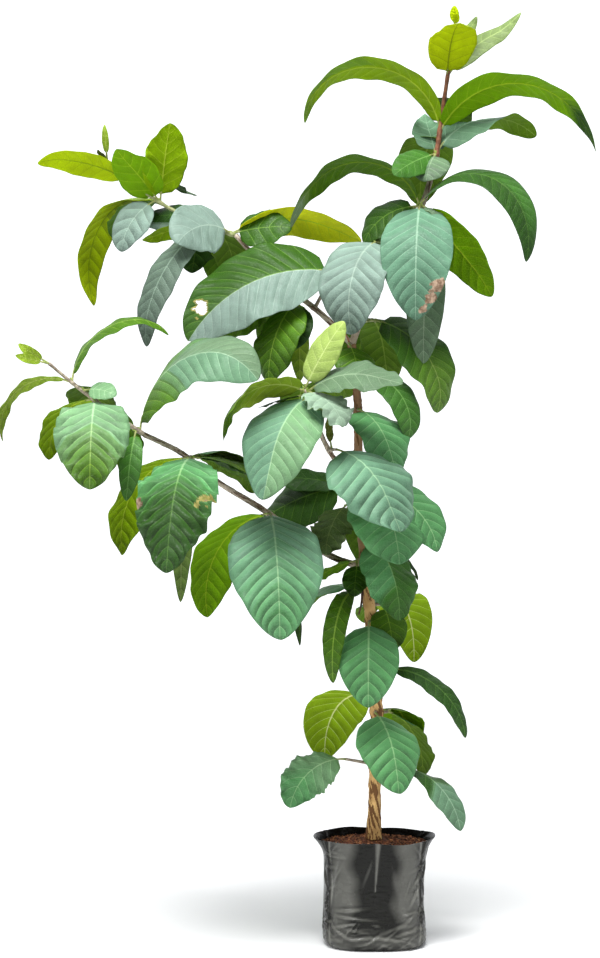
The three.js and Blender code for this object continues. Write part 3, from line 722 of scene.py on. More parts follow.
class Limb:
    """A smooth curve through marks, with a radius at each."""

    DIVISIONS = 200  # straight steps by which its length is measured

    def __init__(self, marks, radii):
        marks = np.array(marks, float)
        before, after = 2 * marks[0] - marks[1], 2 * marks[-1] - marks[-2]
        self.marks = np.concatenate([[before], marks, [after]])
        self.radii = np.array(radii, float)
        self.shares = np.linspace(0, 1, self.DIVISIONS + 1)
        steps = np.diff(self.curve(self.shares), axis=0)
        self.lengths = np.concatenate([[0], np.cumsum(np.linalg.norm(steps, axis=1))])
        self.length = self.lengths[-1]

    def curve(self, share):
        spans = len(self.radii) - 1
        place = np.atleast_1d(share) * spans
        span = np.minimum(place.astype(int), spans - 1)
        t = (place - span)[:, None]
        p0, p1, p2, p3 = (self.marks[span + k] for k in range(4))
        leave, arrive = (p2 - p0) / 2, (p3 - p1) / 2
        return (p1 + leave * t + (3 * (p2 - p1) - 2 * leave - arrive) * t ** 2
                + (2 * (p1 - p2) + leave + arrive) * t ** 3)

    def at(self, distance):
        """Places at distances along the limb."""
        return self.curve(np.interp(distance, self.lengths, self.shares))

    def radius(self, distance):
        share = np.interp(distance, self.lengths, self.shares)
        return np.interp(share * (len(self.radii) - 1), np.arange(len(self.radii)), self.radii)


limbs = {name: Limb(marks, radii) for name, (marks, radii) in LIMBS.items()}
for name, limb in limbs.items():
    print(name, "is", round(limb.length), "mm long")

# %% [markdown]
# ## The shoots
#
# A shoot is one stem with its leaves. Turn is the way it heads, counted from the right through
# the back; rise is how steeply it leaves; droop is how far it bends down by its end. Each
# leaf adds its length, width, roll about its midrib and further twist by the tip, and the tone
# of green it takes: young leaves are yellow-green, old ones blue-green with a waxy sheen.

# %% The shoots: limb, distance along it, stem, hidden leaves, shown leaves
# stem: turn, rise, droop, length, radius
# leaf: share along the stem, turn, rise, droop, length, width, roll, twist, tone
TIP = math.inf
SHOOTS = {
    "leader_top_leaves": ("leader_bough", TIP, (0, 82, 0, 126, 2.3), 2, [
        (0.22, 185, 82, 158, 181, 44, 22, 0, "spring"),
        (0.2, 340, 64, 144, 192, 44, -30, 0, "lime"),
        (0.6, 280, 84, 88, 76, 46, 0, 0, "young"),
        (0.63, 20, 54, 40, 84, 24, 40, 0, "new"),
        (1, 262, 80, 0, 15, 9, 0, 0, "young"),
        (1, 285, 62, 0, 11, 7, 0, 0, "young"),
        (0.75, 0, 57, 0, 40, 12, 75, 0, "new"),
        (0.05, 15, 60, 100, 108, 46, 50, -100, "teal"),
        (0.02, 108, 55, 10, 44, 34, 0, 0, "teal"),
        (0.04, 228, -10, 18, 58, 30, -45, 0, "moss"),
        (0.04, 250, -15, 50, 36, 38, 0, 0, "grey"),
    ]),
    "leader_middle_leaves": ("leader_bough", 142, (270, 30, 0, 12, 2), 2, [
        (0.9, 177, 74, 168, 162, 46, 20, 0, "deep"),
        (0.9, 332, 60, 172, 170, 45, 20, 0, "dark"),
        (0.9, 180, 2, 70, 60, 42, -45, 0, "deep"),
        (1, 264, -15, 95, 128, 68, 0, 0, "blue"),
        (0.9, 355, -46, 8, 102, 46, -58, 0, "lime"),
        (1, 315, -10, 30, 28, 16, 0, 0, "grey"),
    ]),
    "leader_left_leaf": ("leader_bough", 100, (206, 22, 0, 23, 1.8), 0, [
        (1, 239, -8, 105, 110, 66, -10, 0, "silver"),
    ]),
    "leader_right_leaf": ("leader_bough", 112, (330, 0, 0, 26, 1.8), 0, [
        (1, 256, -68, 20, 112, 38, 0, 0, "grey"),
    ]),
    "leader_foot_leaves": ("leader_bough", 22, (350, 10, 0, 14, 1.8), 2, [
        (1, 341, -10, 85, 114, 60, 30, 0, "deep"),
    ]),
    "upper_left_top_leaves": ("upper_left_bough", TIP, (180, 15, -30, 143, 2), 4, [
        (0.03, 15, 30, 70, 128, 42, -40, 0, "glow"),
        (1, 258, 74, 0, 27, 7, 0, 0, "new"),
        (1, 240, 30, 0, 14, 7, 0, 0, "olive"),
        (0.8, 190, 30, 35, 84, 29, 50, 0, "sun"),
        (0.55, 212, 50, 10, 60, 46, 30, 0, "lime"),
        (0.55, 298, 78, 10, 70, 46, 0, 0, "spring"),
        (0.55, 138, 22, 138, 166, 42, 0, 0, "sun"),
        (0.58, 205, -24, 60, 56, 40, -35, 0, "silver"),
        (0.3, 150, 20, 40, 50, 34, -50, 0, "dark"),
        (0.03, 222, 32, 82, 66, 56, -58, 0, "silver"),
        (0.25, 190, -10, 15, 50, 22, 40, 0, "spring"),
        (0.2, 222, -25, 60, 138, 36, -15, 0, "slate"),
        (0.2, 110, -10, 70, 60, 45, 0, 0, "dark"),
        (0.03, 346, 15, 18, 52, 42, 58, 0, "deep"),
    ]),
    "upper_left_middle_leaves": ("upper_left_bough", 50, (320, 55, 0, 42, 1.8), 1, [
        (1, 193, 10, 70, 157, 78, -55, 0, "deep"),
    ]),
    "upper_left_low_leaves": ("upper_left_bough", 66, (250, -10, 0, 11, 1.8), 2, [
        (1, 165, 0, 60, 95, 44, 20, 0, "deep"),
        (1, 232, -30, 60, 86, 54, 0, 0, "leafy"),
        (1, 262, -50, 30, 44, 34, 0, 0, "dark"),
        (1, 280, -75, 10, 70, 20, 0, 0, "sun"),
    ]),
    "middle_bough_leaves": ("middle_bough", TIP, (190, 60, 0, 12, 1.8), 1, [
        (0.7, 205, 30, 110, 108, 50, 30, 0, "new"),
        (1, 350, 66, 12, 65, 29, 80, 0, "pearl"),
        (0.7, 340, 40, 75, 90, 50, 30, 0, "grey"),
        (0.8, 308, -2, 50, 58, 46, 0, 0, "mint"),
        (0.3, 240, -10, 80, 120, 72, -10, 0, "sage"),
        (0.5, 175, -5, 20, 40, 20, 0, 0, "dark"),
    ]),
    "fork_leaf": ("trunk", 484, (250, 10, 0, 9, 1.8), 1, [
        (1, 288, -30, 35, 44, 40, 0, 0, "leafy"),
    ]),
    "fork_right_leaf": ("trunk", 443, (15, 0, 0, 12, 1.8), 1, [
        (1, 320, 5, 108, 82, 34, 20, 0, "moss"),
    ]),
    "trunk_upper_leaf": ("trunk", 412, (270, 10, 0, 10, 1.8), 0, [
        (1, 308, -13, 70, 76, 62, 0, 0, "green"),
    ]),
    "middle_bough_foot_leaf": ("middle_bough", 55, (285, 3, 0, 29, 1.8), 0, [
        (1, 315, -8, 73, 104, 86, 13, 0, "sage"),
        (0.4, 240, 72, 0, 24, 11, 80, 0, "olive"),
    ]),
    "trunk_upper_back_leaves": ("trunk", 338, (180, 10, 0, 12, 1.8), 2, [
        (1, 166, -8, 28, 80, 60, -50, 0, "deep"),
        (1, 170, 15, 20, 66, 30, -40, 0, "dark"),
    ]),
    "trunk_middle_right_leaves": ("trunk", 335, (330, 10, 0, 13, 1.8), 1, [
        (1, 296, -15, 70, 85, 78, 0, 0, "green"),
        (1, 345, -3, 78, 86, 52, 40, 0, "green"),
    ]),
    "trunk_middle_left_leaf": ("trunk", 322, (215, 5, 0, 15, 1.8), 0, [
        (1, 240, -15, 60, 58, 44, 0, 0, "olive"),
    ]),
    "trunk_waist_right_leaves": ("trunk", 288, (300, 10, 0, 17, 1.8), 0, [
        (1, 302, -25, 65, 84, 58, 0, 0, "moss"),
        (1, 20, -10, 60, 58, 18, 0, 0, "dark"),
    ]),
    "trunk_waist_left_leaves": ("trunk", 270, (235, 0, 0, 12, 1.8), 0, [
        (1, 195, -12, 20, 44, 26, 30, 0, "leafy"),
        (1, 262, -35, 30, 34, 26, 0, 0, "deep"),
    ]),
    "trunk_low_left_leaf": ("trunk", 240, (190, 0, 0, 14, 1.8), 1, [
        (1, 250, 0, 112, 110, 22, -25, 0, "leafy"),
    ]),
    "trunk_low_right_leaves": ("trunk", 226, (20, 0, 0, 14, 1.8), 1, [
        (1, 66, 20, 118, 116, 48, -20, 0, "fresh"),
        (1, 285, -25, 50, 46, 36, 0, 0, "leafy"),
    ]),
    "trunk_low_front_leaf": ("trunk", 211, (262, 0, 0, 14, 1.8), 0, [
        (1, 268, -15, 75, 92, 58, 0, 0, "green"),
    ]),
    "trunk_foot_right_leaf": ("trunk", 165, (340, 0, 0, 12, 1.8), 0, [
        (1, 340, 4, 84, 103, 23, 30, 0, "dark"),
    ]),
    "trunk_foot_left_leaf": ("trunk", 138, (145, 0, 0, 14, 1.8), 0, [
        (1, 125, 0, 95, 100, 58, 25, 0, "fresh"),
    ]),
    "base_front_leaf": ("trunk", 124, (262, 0, 0, 12, 1.8), 0, [
        (1, 292, -15, 75, 86, 62, 0, 0, "green"),
    ]),
    "base_back_leaf": ("trunk", 122, (30, 0, 0, 12, 1.8), 1, [
        (1, 68, 15, 110, 82, 46, 0, 0, "lime"),
    ]),
    "base_left_leaf": ("trunk", 72, (195, 12, 0, 30, 1.8), 0, [
        (1, 205, 8, 88, 72, 46, -22, -40, "soft"),
    ]),
    "base_right_leaf": ("trunk", 70, (335, 5, 0, 26, 1.8), 0, [
        (1, 335, -4, 78, 84, 30, -12, 72, "teal"),
    ]),
    "low_left_top_leaves": ("low_left_bough", TIP, (185, 33, -8, 110, 2.1), 2, [
        (1, 180, 32, 0, 26, 10, 80, 0, "new"),
        (1, 184, 14, 0, 24, 9, 80, 0, "new"),
        (0.75, 0, 86, 115, 118, 26, 20, 0, "leafy"),
        (0.75, 183, 25, 130, 98, 26, 20, 0, "new"),
        (0.5, 270, -3, 84, 112, 70, 0, 0, "soft"),
        (0.52, 146, 0, 95, 80, 50, 0, 0, "spring"),
        (0.64, 330, 14, 40, 30, 22, 45, 0, "soft"),
        (0.043, 328, 85, 122, 166, 76, 42, 0, "teal"),
        (0.08, 258, -42, 42, 66, 22, 0, 0, "moss"),
    ]),
    "low_left_middle_leaves": ("low_left_bough", 200, (270, 15, 0, 12, 1.8), 2, [
        (1, 260, 0, 90, 146, 74, 0, 0, "green"),
        (1, 112, -60, 40, 134, 22, 0, 0, "grey"),
        (1, 160, -2, 104, 124, 58, 20, 0, "spring"),
        (1, 20, 0, 40, 58, 25, 0, 0, "dark"),
    ]),
    "low_left_inner_leaves": ("low_left_bough", 108, (270, 10, 0, 12, 1.8), 2, [
        (1, 276, -8, 82, 148, 88, 0, 0, "sage"),
        (1, 25, -58, 38, 124, 30, 0, 0, "dark"),
        (1, 150, -9, 94, 130, 62, 22, 0, "lime"),
    ]),
}
print(sum(len(shoot[4]) for shoot in SHOOTS.values()), "leaves in", len(SHOOTS), "shoots")

# %% [markdown]
# ## How a stem and a leaf bend
#
# Both leave at one angle and bend down evenly, so each is an arc made of many short steps. The
# blade's own frame turns with it: across the blade, and out of its upper face.

# %% Arcs
ARC_STEPS = 24  # of a leaf's midrib
STEM_STEPS = 12  # of a stem


def heading(turn, rise):
    turn, rise = np.radians(turn), np.radians(rise)
    flat = np.cos(rise)
    return np.stack(np.broadcast_arrays(np.cos(turn) * flat, np.sin(turn) * flat, np.sin(rise)), -1)


class Arc:
    """A path that leaves at one rise and bends down evenly."""

    def __init__(self, start, turn, rise, droop, length, steps):
        along = np.arange(steps + 1)
        self.length = length
        self.ways = heading(turn, rise - droop * along / steps)
        moves = heading(turn, rise - droop * (along[:-1] + 0.5) / steps) * length / steps
        self.points = np.concatenate([[start], start + np.cumsum(moves, axis=0)])
        self.steps = steps

    def place(self, share):
        """Points and ways at shares of the length."""
        share = np.asarray(share, float)
        span = np.clip(np.floor(share * self.steps).astype(int), 0, self.steps - 1)
        t = (share * self.steps - span)[..., None]
        point = self.points[span] * (1 - t) + self.points[span + 1] * t
        return point, unit(self.ways[span] * (1 - t) + self.ways[span + 1] * t)


def stem_arc(name):
    limb_name, distance, (turn, rise, droop, length, _), _, _ = SHOOTS[name]
    limb = limbs[limb_name]
    foot = limb.at(min(distance, limb.length))[0]
    return Arc(foot, turn, rise, droop, length, STEM_STEPS)


print("the leader's tip shoot is", stem_arc("leader_top_leaves").length, "mm long")

# %% The frame of a leaf
LEAF = {
    "petiole": 8, "petiole_share": 1 / 3, "stalk": 1.1, "stalk_share": 0.25,
    "fold": 8, "wide_at": 0.86, "base_blunt": 0.42, "tip_blunt": 0.6,
}


def outline(share):
    """Half the width of a blade at a share of its length, as a part of its greatest half width."""
    place = np.clip(share, 0, 1) ** LEAF["wide_at"]
    blunt = np.where(place < 0.5, LEAF["base_blunt"], LEAF["tip_blunt"])
    return np.maximum(0, np.sin(np.pi * place)) ** blunt


class Leaf:
    """One leaf: its midrib as an arc, and the directions of its blade anywhere along it."""

    def __init__(self, stem, row):
        along, self.turn, rise, droop, self.length, self.width, self.roll, self.twist = row[:8]
        self.petiole = min(LEAF["petiole"], self.length * LEAF["petiole_share"])
        base, self.stem_way = stem.place(along)
        reach = self.petiole + self.length
        self.midrib = Arc(base, self.turn, rise, droop, reach, ARC_STEPS)
        self.root = -self.petiole / self.length

    def frame(self, share):
        """Point, across and out at shares of the blade's length."""
        share = np.asarray(share, float)
        reach = self.petiole + self.length
        point, way = self.midrib.place((self.petiole + share * self.length) / reach)
        tilt = np.radians(self.roll + self.twist * np.maximum(0, share))[..., None]
        turn = math.radians(self.turn)
        level = np.array([-math.sin(turn), math.cos(turn), 0.0])
        upright = np.cross(way, level)
        across = level * np.cos(tilt) + upright * np.sin(tilt)
        return point, across, upright * np.cos(tilt) - level * np.sin(tilt)


shares = np.linspace(0, 1, 101)
print("a blade is widest at", shares[outline(shares).argmax()].round(2), "of its length")

# %% [markdown]
# ## Leaves on the far side
#
# The far side of the plant is as full as the near one. A seeded rule draws leaves for it and
# keeps each one that is clear of the limbs and of other shoots, and that hides behind a leaf
# which shows from the front, so no gap of the crown is closed.

# %% The seeded rule
HIDDEN = {
    "seed": 2027, "seed_step": 101, "tries": 40, "along": (0.15, 1), "long_stem": 40,
    "turn": (35, 145), "rise": (-25, 25), "droop": (55, 105), "length": (70, 118),
    "slender": 0.52, "roll": (-20, 20), "apart": 12, "covered": 13, "from_limb": 4,
}
HIDDEN_TONES = ["green", "deep", "dark", "blue", "deep"]
SPOT_SHARES = 0.06 + 0.11 * np.arange(9)
SPOT_SIDES = np.array([-1, -0.5, 0, 0.5, 1])
LIMB_SPOTS = 60


def draws(seed):
    """Park and Miller's generator."""
    state = seed

    def draw(limits):
        nonlocal state
        state = state * 16807 % 2147483647
        return limits[0] + (limits[1] - limits[0]) * state / 2147483647
    return draw


def spots(stem, row):
    """Points spread over a blade, which stand for it where leaves are kept apart."""
    leaf = Leaf(stem, row)
    point, across, _ = leaf.frame(SPOT_SHARES)
    half = leaf.width / 2 * outline(SPOT_SHARES)
    return (point[:, None] + across[:, None] * (half[:, None] * SPOT_SIDES)[..., None]).reshape(-1, 3)


def gaps(points, others):
    """Distances from each point to each of the others."""
    return np.sqrt(((points[:, None] - others[None]) ** 2).sum(-1))


def hidden_leaves(index, name, stem, front, others):
    draw = draws(HIDDEN["seed"] + HIDDEN["seed_step"] * index)
    _, _, (_, _, _, stem_length, _), wanted, _ = SHOOTS[name]
    reach = HIDDEN["along"] if stem_length > HIDDEN["long_stem"] else (1, 1)
    kept = []
    for _ in range(HIDDEN["tries"] * wanted):
        if len(kept) == wanted:
            break
        along = draw(reach)
        length = draw(HIDDEN["length"])
        row = (along, draw(HIDDEN["turn"]), draw(HIDDEN["rise"]), draw(HIDDEN["droop"]), length,
               HIDDEN["slender"] * length, draw(HIDDEN["roll"]), 0)
        own = spots(stem, row)
        covered = gaps(own[:, ::2], front[:, ::2]).min(1).max() < HIDDEN["covered"]  # from the front
        apart = gaps(own, others).min() > HIDDEN["apart"]
        off_limbs = (gaps(own, limb_points) - limb_radii).min() > HIDDEN["from_limb"]
        if covered and apart and off_limbs:
            kept.append(row + (HIDDEN_TONES[len(kept) % len(HIDDEN_TONES)],))
    return kept


marks_of = {name: np.linspace(0, limb.length, LIMB_SPOTS + 1) for name, limb in limbs.items()}
limb_points = np.concatenate([limbs[name].at(marks) for name, marks in marks_of.items()])
limb_radii = np.concatenate([limbs[name].radius(marks) for name, marks in marks_of.items()])
stems = {name: stem_arc(name) for name in SHOOTS}
shown = {name: np.concatenate([spots(stems[name], row) for row in shoot[4]])
         for name, shoot in SHOOTS.items()}
leaves = {}
for index, (name, shoot) in enumerate(SHOOTS.items()):
    front = np.concatenate(list(shown.values()))
    others = np.concatenate([shown[key] for key in SHOOTS if key != name])
    found = hidden_leaves(index, name, stems[name], front, others)
    shown[name] = np.concatenate([shown[name]] + [spots(stems[name], row) for row in found])
    leaves[name] = list(shoot[4]) + found
print(sum(map(len, leaves.values())), "leaves with those of the far side")

# %% [markdown]
# ## Bark
#
# Bark can be painted, bumped or modelled. The flakes of a guava trunk stand out by nearly
# a millimetre and break its outline, so they are modelled, and only the finest grain is a bump.

# %% The finishes of old and young bark
REDDISH = srgb(122, 88, 72)  # the young bark that begins half way up the trunk


def bark_finish(name, wood, pale_wood, flake, rough, young_from):
    finish = Finish(name, {"Specular IOR Level": 0.3})
    raised = finish.attribute("flake")
    grain = finish.pattern("ShaderNodeTexNoise", 420, stretch=(1, 1, 0.28), inputs={"Detail": 5.0})
    blotch = finish.pattern("ShaderNodeTexNoise", 90, inputs={"Detail": 3.0})
    ground = finish.mix(wood, pale_wood, (grain * 0.5 + blotch * 0.6).between(0.3, 0.8))
    place = finish.add("ShaderNodeTexCoord").outputs["Object"]
    height = Wire(finish, finish.add("ShaderNodeSeparateXYZ", inputs={"Vector": place}).outputs["Z"])
    young = (height + blotch * 0.06).between(*young_from) * 0.8
    ground = finish.mix(ground, REDDISH, young)
    edge = (raised + (grain - 0.5) * 0.5).between(0.32, 0.55)
    finish.set(Base_Color=finish.mix(ground, flake, edge), Roughness=rough + edge * 0.12)
    finish.bump(grain + raised * 0.5, 0.0007, 0.8)


OLD_BARK = [srgb(166, 126, 74), srgb(216, 178, 116), srgb(106, 72, 40)]  # wood, paler wood, flakes
GREY_BARK = [srgb(132, 116, 98), srgb(190, 178, 160), srgb(104, 82, 66)]
bark_finish("old_bark", *OLD_BARK, rough=0.68, young_from=(0.33, 0.45))
bark_finish("grey_bark", *GREY_BARK, rough=0.62, young_from=(2, 3))  # no bough is 2 m up, so never
print("bark:", ", ".join(name for name in FINISHES if "bark" in name))

# %% The bark's relief
FLAKES = {"round": 1.5, "tall": 30, "twist": 0.9, "twist_over": 18, "fine": 0.16}
FLAKES_DEEP = {"trunk": 0.75, "bough": 0.22}
JOINT = {"swells": 0.09, "half": 3.2}  # where a shoot leaves a limb
BARK_STEP = 1.4  # between rings
TRUNK_SIDES, BOUGH_SIDES = 56, 28


def flake_height(angle, height, old):
    """0 on smooth wood and 1 on a flake. Flakes run round the limb in a steep spiral."""
    turned = angle + FLAKES["twist"] * height / FLAKES["twist_over"]
    place = Vector((math.cos(turned) * FLAKES["round"], math.sin(turned) * FLAKES["round"],
                    height / FLAKES["tall"]))
    rough = noise.fractal(place * 1.6, 0.9, 2.1, 4)
    return min(1.0, max(0.0, (rough - 0.12 + 0.42 * old) * 5))


def bark_grid(limb, sides, age):
    """Distances along a limb, angles round it, and how high the flakes stand there."""
    distance = np.linspace(0, limb.length, int(limb.length / BARK_STEP))
    angles = round_angles(sides)
    flakes = np.array([[flake_height(angle, along, age(along)) for angle in angles]
                       for along in distance])
    return distance, angles, flakes


def joints_on(name):
    """Distances along a limb where shoots leave it, each a low swelling."""
    return [min(shoot[1], limbs[name].length) for shoot in SHOOTS.values() if shoot[0] == name]


def bark_radii(name, distance, angles, flakes, deep):
    limb = limbs[name]
    radii = np.repeat(limb.radius(distance)[:, None], len(angles), axis=1)
    for joint in joints_on(name):
        swelling = JOINT["swells"] * limb.radius(joint) * bell((distance - joint) / JOINT["half"])
        radii += swelling[:, None]
    if name == "trunk":
        rise = np.maximum(0, 1 - distance / FLARE["height"]) ** FLARE["curl"]
        lobes = 1 - FLARE["ridge"] + FLARE["ridge"] * np.cos(angles * FLARE["lobes"])
        radii += FLARE["deep"] * rise[:, None] * lobes[None]
    fine = FLAKES["fine"] * np.sin(angles * 7 + distance[:, None] / 3.1) \
        * np.sin(distance[:, None] / 1.9 + 3 * np.cos(angles))
    return radii + (flakes - 0.35) * deep + fine


print("the flakes stand out by up to", FLAKES_DEEP["trunk"], "mm on the trunk")

# %% Trunk and boughs
def trunk_age(distance):
    """Most flaky at the foot, smooth half way up."""
    return 0.24 - 0.7 * min(1, distance / 300)


def bough_age(distance):
    return -0.15


def make_limb(name, sides, finish, slot, deep, age):
    limb = limbs[name]
    distance, angles, flakes = bark_grid(limb, sides, age)
    build = Build()
    add_tube(build, limb.at(distance), bark_radii(name, distance, angles, flakes, deep), finish)
    ends = [flakes[0].mean(), flakes[-1].mean()]
    build.piece(f"{name}_bark", slot, name, {"flake": np.append(flakes, ends)})


make_limb("trunk", TRUNK_SIDES, "old_bark", "trunk_bark", FLAKES_DEEP["trunk"], trunk_age)
for bough in [name for name in LIMBS if name != "trunk"]:
    make_limb(bough, BOUGH_SIDES, "grey_bark", "bough_bark", FLAKES_DEEP["bough"], bough_age)

# %% [markdown]
# ## The greens
#
# A guava leaf is darker and bluer above than below, and its veins are paler than its blade. The
# age of the leaf sets both. Each tone is therefore six plain finishes: blade, side vein and
# midrib, above and below. They are dealt out by leaf, and a face of a vein strip takes the vein's
# colour, so the pattern of the veins is in the mesh. A fine net of veinlets varies each one, and
# so does a painted shade, which the mesh keeps for each point: the shade of its own bulge, lighter
# below a vein and darker above the next on a hanging blade, and darker towards its tip.

# %% Tones of leaf
TONES = {  # blade above, midrib above, blade below, midrib below
    "young": ((150, 172, 30), (176, 190, 60), (167, 185, 2), (124, 140, 8)),
    "sun": ((124, 154, 36), (160, 180, 70), (156, 180, 0), (124, 150, 12)),
    # painted light: an underside coloured as bright as one with light shining through it
    "glow": ((150, 180, 40), (170, 190, 70), (212, 238, 24), (176, 204, 40)),
    "fresh": ((110, 150, 44), (190, 210, 130), (122, 154, 16), (200, 214, 136)),
    "spring": ((88, 128, 36), (140, 170, 80), (116, 149, 0), (156, 178, 50)),
    "leafy": ((62, 101, 4), (116, 150, 50), (68, 106, 4), (112, 140, 34)),
    "new": ((108, 128, 74), (140, 160, 98), (124, 150, 40), (156, 174, 84)),
    "pearl": ((144, 166, 84), (170, 188, 112), (160, 180, 84), (180, 196, 112)),
    "soft": ((108, 148, 104), (148, 182, 138), (96, 134, 24), (136, 160, 64)),
    "green": ((82, 140, 84), (132, 178, 122), (84, 116, 26), (120, 148, 56)),
    "blue": ((88, 128, 102), (130, 164, 138), (74, 112, 28), (110, 142, 64)),
    "grey": ((92, 118, 88), (130, 152, 122), (100, 126, 60), (136, 154, 92)),
    # a painted sheen: the pale grey that a waxy blade shows where it faces the sky
    "silver": ((116, 138, 126), (142, 162, 148), (112, 136, 98), (142, 160, 128)),
    "slate": ((82, 100, 86), (112, 132, 116), (70, 92, 52), (100, 120, 84)),
    "mint": ((137, 162, 138), (162, 186, 160), (118, 146, 92), (150, 174, 124)),
    "teal": ((92, 128, 98), (132, 164, 134), (80, 112, 16), (114, 142, 60)),
    "moss": ((58, 106, 34), (100, 144, 72), (58, 94, 8), (94, 124, 36)),
    "deep": ((42, 80, 6), (92, 128, 44), (66, 102, 5), (106, 134, 36)),
    "dark": ((38, 74, 18), (72, 108, 44), (34, 66, 8), (68, 98, 26)),
    "olive": ((72, 94, 44), (108, 124, 70), (70, 80, 24), (102, 106, 46)),
    "lime": ((92, 130, 20), (140, 168, 56), (98, 142, 0), (140, 168, 32)),
    "sage": ((98, 139, 110), (140, 176, 140), (84, 124, 36), (116, 150, 74)),
}
VEIN_PALER = {"above": 0.8, "below": 0.7}  # how far a side vein goes towards the midrib's colour
NET = {"blade": 0.16, "vein": 0.1, "rib": 0.05}  # how much the veinlets show
WAXY = {"Specular IOR Level": 0.2, "Coat Weight": 0.05, "Coat Roughness": 0.35}  # above
DOWNY = {"Specular IOR Level": 0.08}  # below


def leaf_finish(name, colour, above, net_share):
    finish = Finish(name, WAXY if above else DOWNY)
    # painted shade kept by the mesh for each point: panels lighter below a vein and darker above the
    # next, tips darker
    relief = finish.attribute("shade")
    blotch = finish.pattern("ShaderNodeTexNoise", 38, inputs={"Detail": 2.0})
    mottle = finish.pattern("ShaderNodeTexNoise", 140, inputs={"Detail": 4.0})
    net = finish.pattern("ShaderNodeTexVoronoi", 420, settings={"feature": "DISTANCE_TO_EDGE"})
    thread = 1 - net.between(0.0, 0.13)
    # the painted shade, with real blotches and mottling, darkens or lightens the blade's colour
    shade = relief * 0.95 + blotch * 0.45 + mottle * 0.4 - 0.4
    green = finish.mix(srgb(*colour, 0.4), srgb(*colour, 1.6), shade)
    paler = tuple(min(255, c + 24) for c in colour)
    finish.set(Base_Color=finish.mix(green, srgb(*paler), thread * net_share),
               Roughness=(0.4 if above else 0.56) + mottle * 0.18)
    finish.bump(mottle * 0.6 + (thread * -1.0 if above else thread), 0.0004, 0.75)


def make_tone(tone):
    above, rib_above, below, rib_below = TONES[tone]
    for face, blade, rib in (("above", above, rib_above), ("below", below, rib_below)):
        paler = VEIN_PALER[face]
        vein = tuple(b + (r - b) * paler for b, r in zip(blade, rib))
        leaf_finish(f"{tone}_{face}", blade, face == "above", NET["blade"])
        leaf_finish(f"{tone}_vein_{face}", vein, face == "above", NET["vein"])
        leaf_finish(f"{tone}_rib_{face}", rib, face == "above", NET["rib"])


for tone in TONES:
    make_tone(tone)
print(6 * len(TONES), "greens")

# %% Damage and twigs
PLAIN = {  # dark and pale colour, cells a metre, roughness
    "scorch": ((92, 66, 46), (168, 144, 122), 260, 0.75),
    "scorch_edge": ((104, 104, 40), (146, 136, 76), 300, 0.65),
    "red_twig": ((104, 62, 46), (150, 98, 70), 240, 0.5),
    "green_twig": ((112, 122, 70), (164, 168, 120), 240, 0.5),
    "grey_twig": ((108, 96, 82), (168, 156, 138), 300, 0.62),
    "dead_twig": ((44, 30, 22), (92, 68, 50), 400, 0.8),
    "petiole": ((112, 126, 62), (156, 160, 100), 220, 0.5),
    "bud": ((110, 138, 50), (156, 176, 84), 260, 0.5),
}
for name, (dark, pale, scale, rough) in PLAIN.items():
    finish = Finish(name, {"Specular IOR Level": 0.35})
    spread = finish.pattern("ShaderNodeTexNoise", scale, inputs={"Detail": 4.0})
    finish.set(Base_Color=finish.mix(srgb(*dark), srgb(*pale), spread.between(0.3, 0.7)),
               Roughness=rough + spread * 0.12)
    finish.bump(spread, 0.0005)
print(len(FINISHES), "finishes in all")

# %% [markdown]
# ## A blade
#
# A guava blade is quilted: a pair of sunken veins runs out from the midrib every 12 mm or so, and
# the panels between them bulge. The grid follows the veins. Its rows are slanted so that a narrow
# strip lies along each vein and thins out towards the margin, its columns run from the midrib
# to the margin, and the skin is thin, closed and rounded off at the margin by a wall. Every
# cell is split the same way above and below, so the two skins never pass through each other.

# %% The shape of a blade
BLADE = {
    "vein_every": 12.5, "vein_wide": 0.8, "vein_thins": 0.65, "lean": 0.8, "most_lean": 0.24,
    "curl": 1.1, "quilt": 0.017, "wave": 0.045, "thick": 0.34, "midrib": 1.1, "rib_deep": 1.0,
    "vein_deep": 0.2, "tip_from": 0.68, "tip_bends": 0.05, "between": 5, "across": 8,
    "pairs": (4, 16), "first_gap": 0.75, "last_gap": 0.8, "rows_end": 0.985,
    "fold_share": (0.2, 1.9), "fold_curve": (0.9, 1.5),
}
RUFFLE = {"beats": (1.5, 2.6), "crinkled_beats": 1.5, "finer": 2.7, "fine": 0.4, "crinkled_fine": 0.8}
SHADE = {"bulge": 0.46, "tip": 0.62, "light_above": 0.4}  # that share of the length


def vein_rows(length, fine):
    """For the grid's rows: shares of the length, which gaps are veins, and the veins' edges."""
    pairs = int(np.clip(round(length / BLADE["vein_every"]), *BLADE["pairs"]))
    gap = 1 / (pairs + BLADE["last_gap"])
    half = BLADE["vein_wide"] / 2 / length
    steps = BLADE["between"] * fine
    first = gap * BLADE["first_gap"]
    rows = list(np.linspace(0.001, first - half, steps, endpoint=False))
    strips = [False] * steps
    edges = [0.0] * steps
    for vein in first + gap * np.arange(pairs):
        panel = vein + half + (gap - 2 * half) * np.arange(steps) / steps
        rows += [vein - half, *panel]
        strips += [True] + [False] * steps
        edges += [-half, half] + [0.0] * (steps - 1)
    rows, strips, edges = np.array(rows), np.array(strips), np.array(edges)
    inside = rows < BLADE["rows_end"]
    return np.append(rows[inside], 0.999), strips[inside], np.append(edges[inside], 0), first, gap


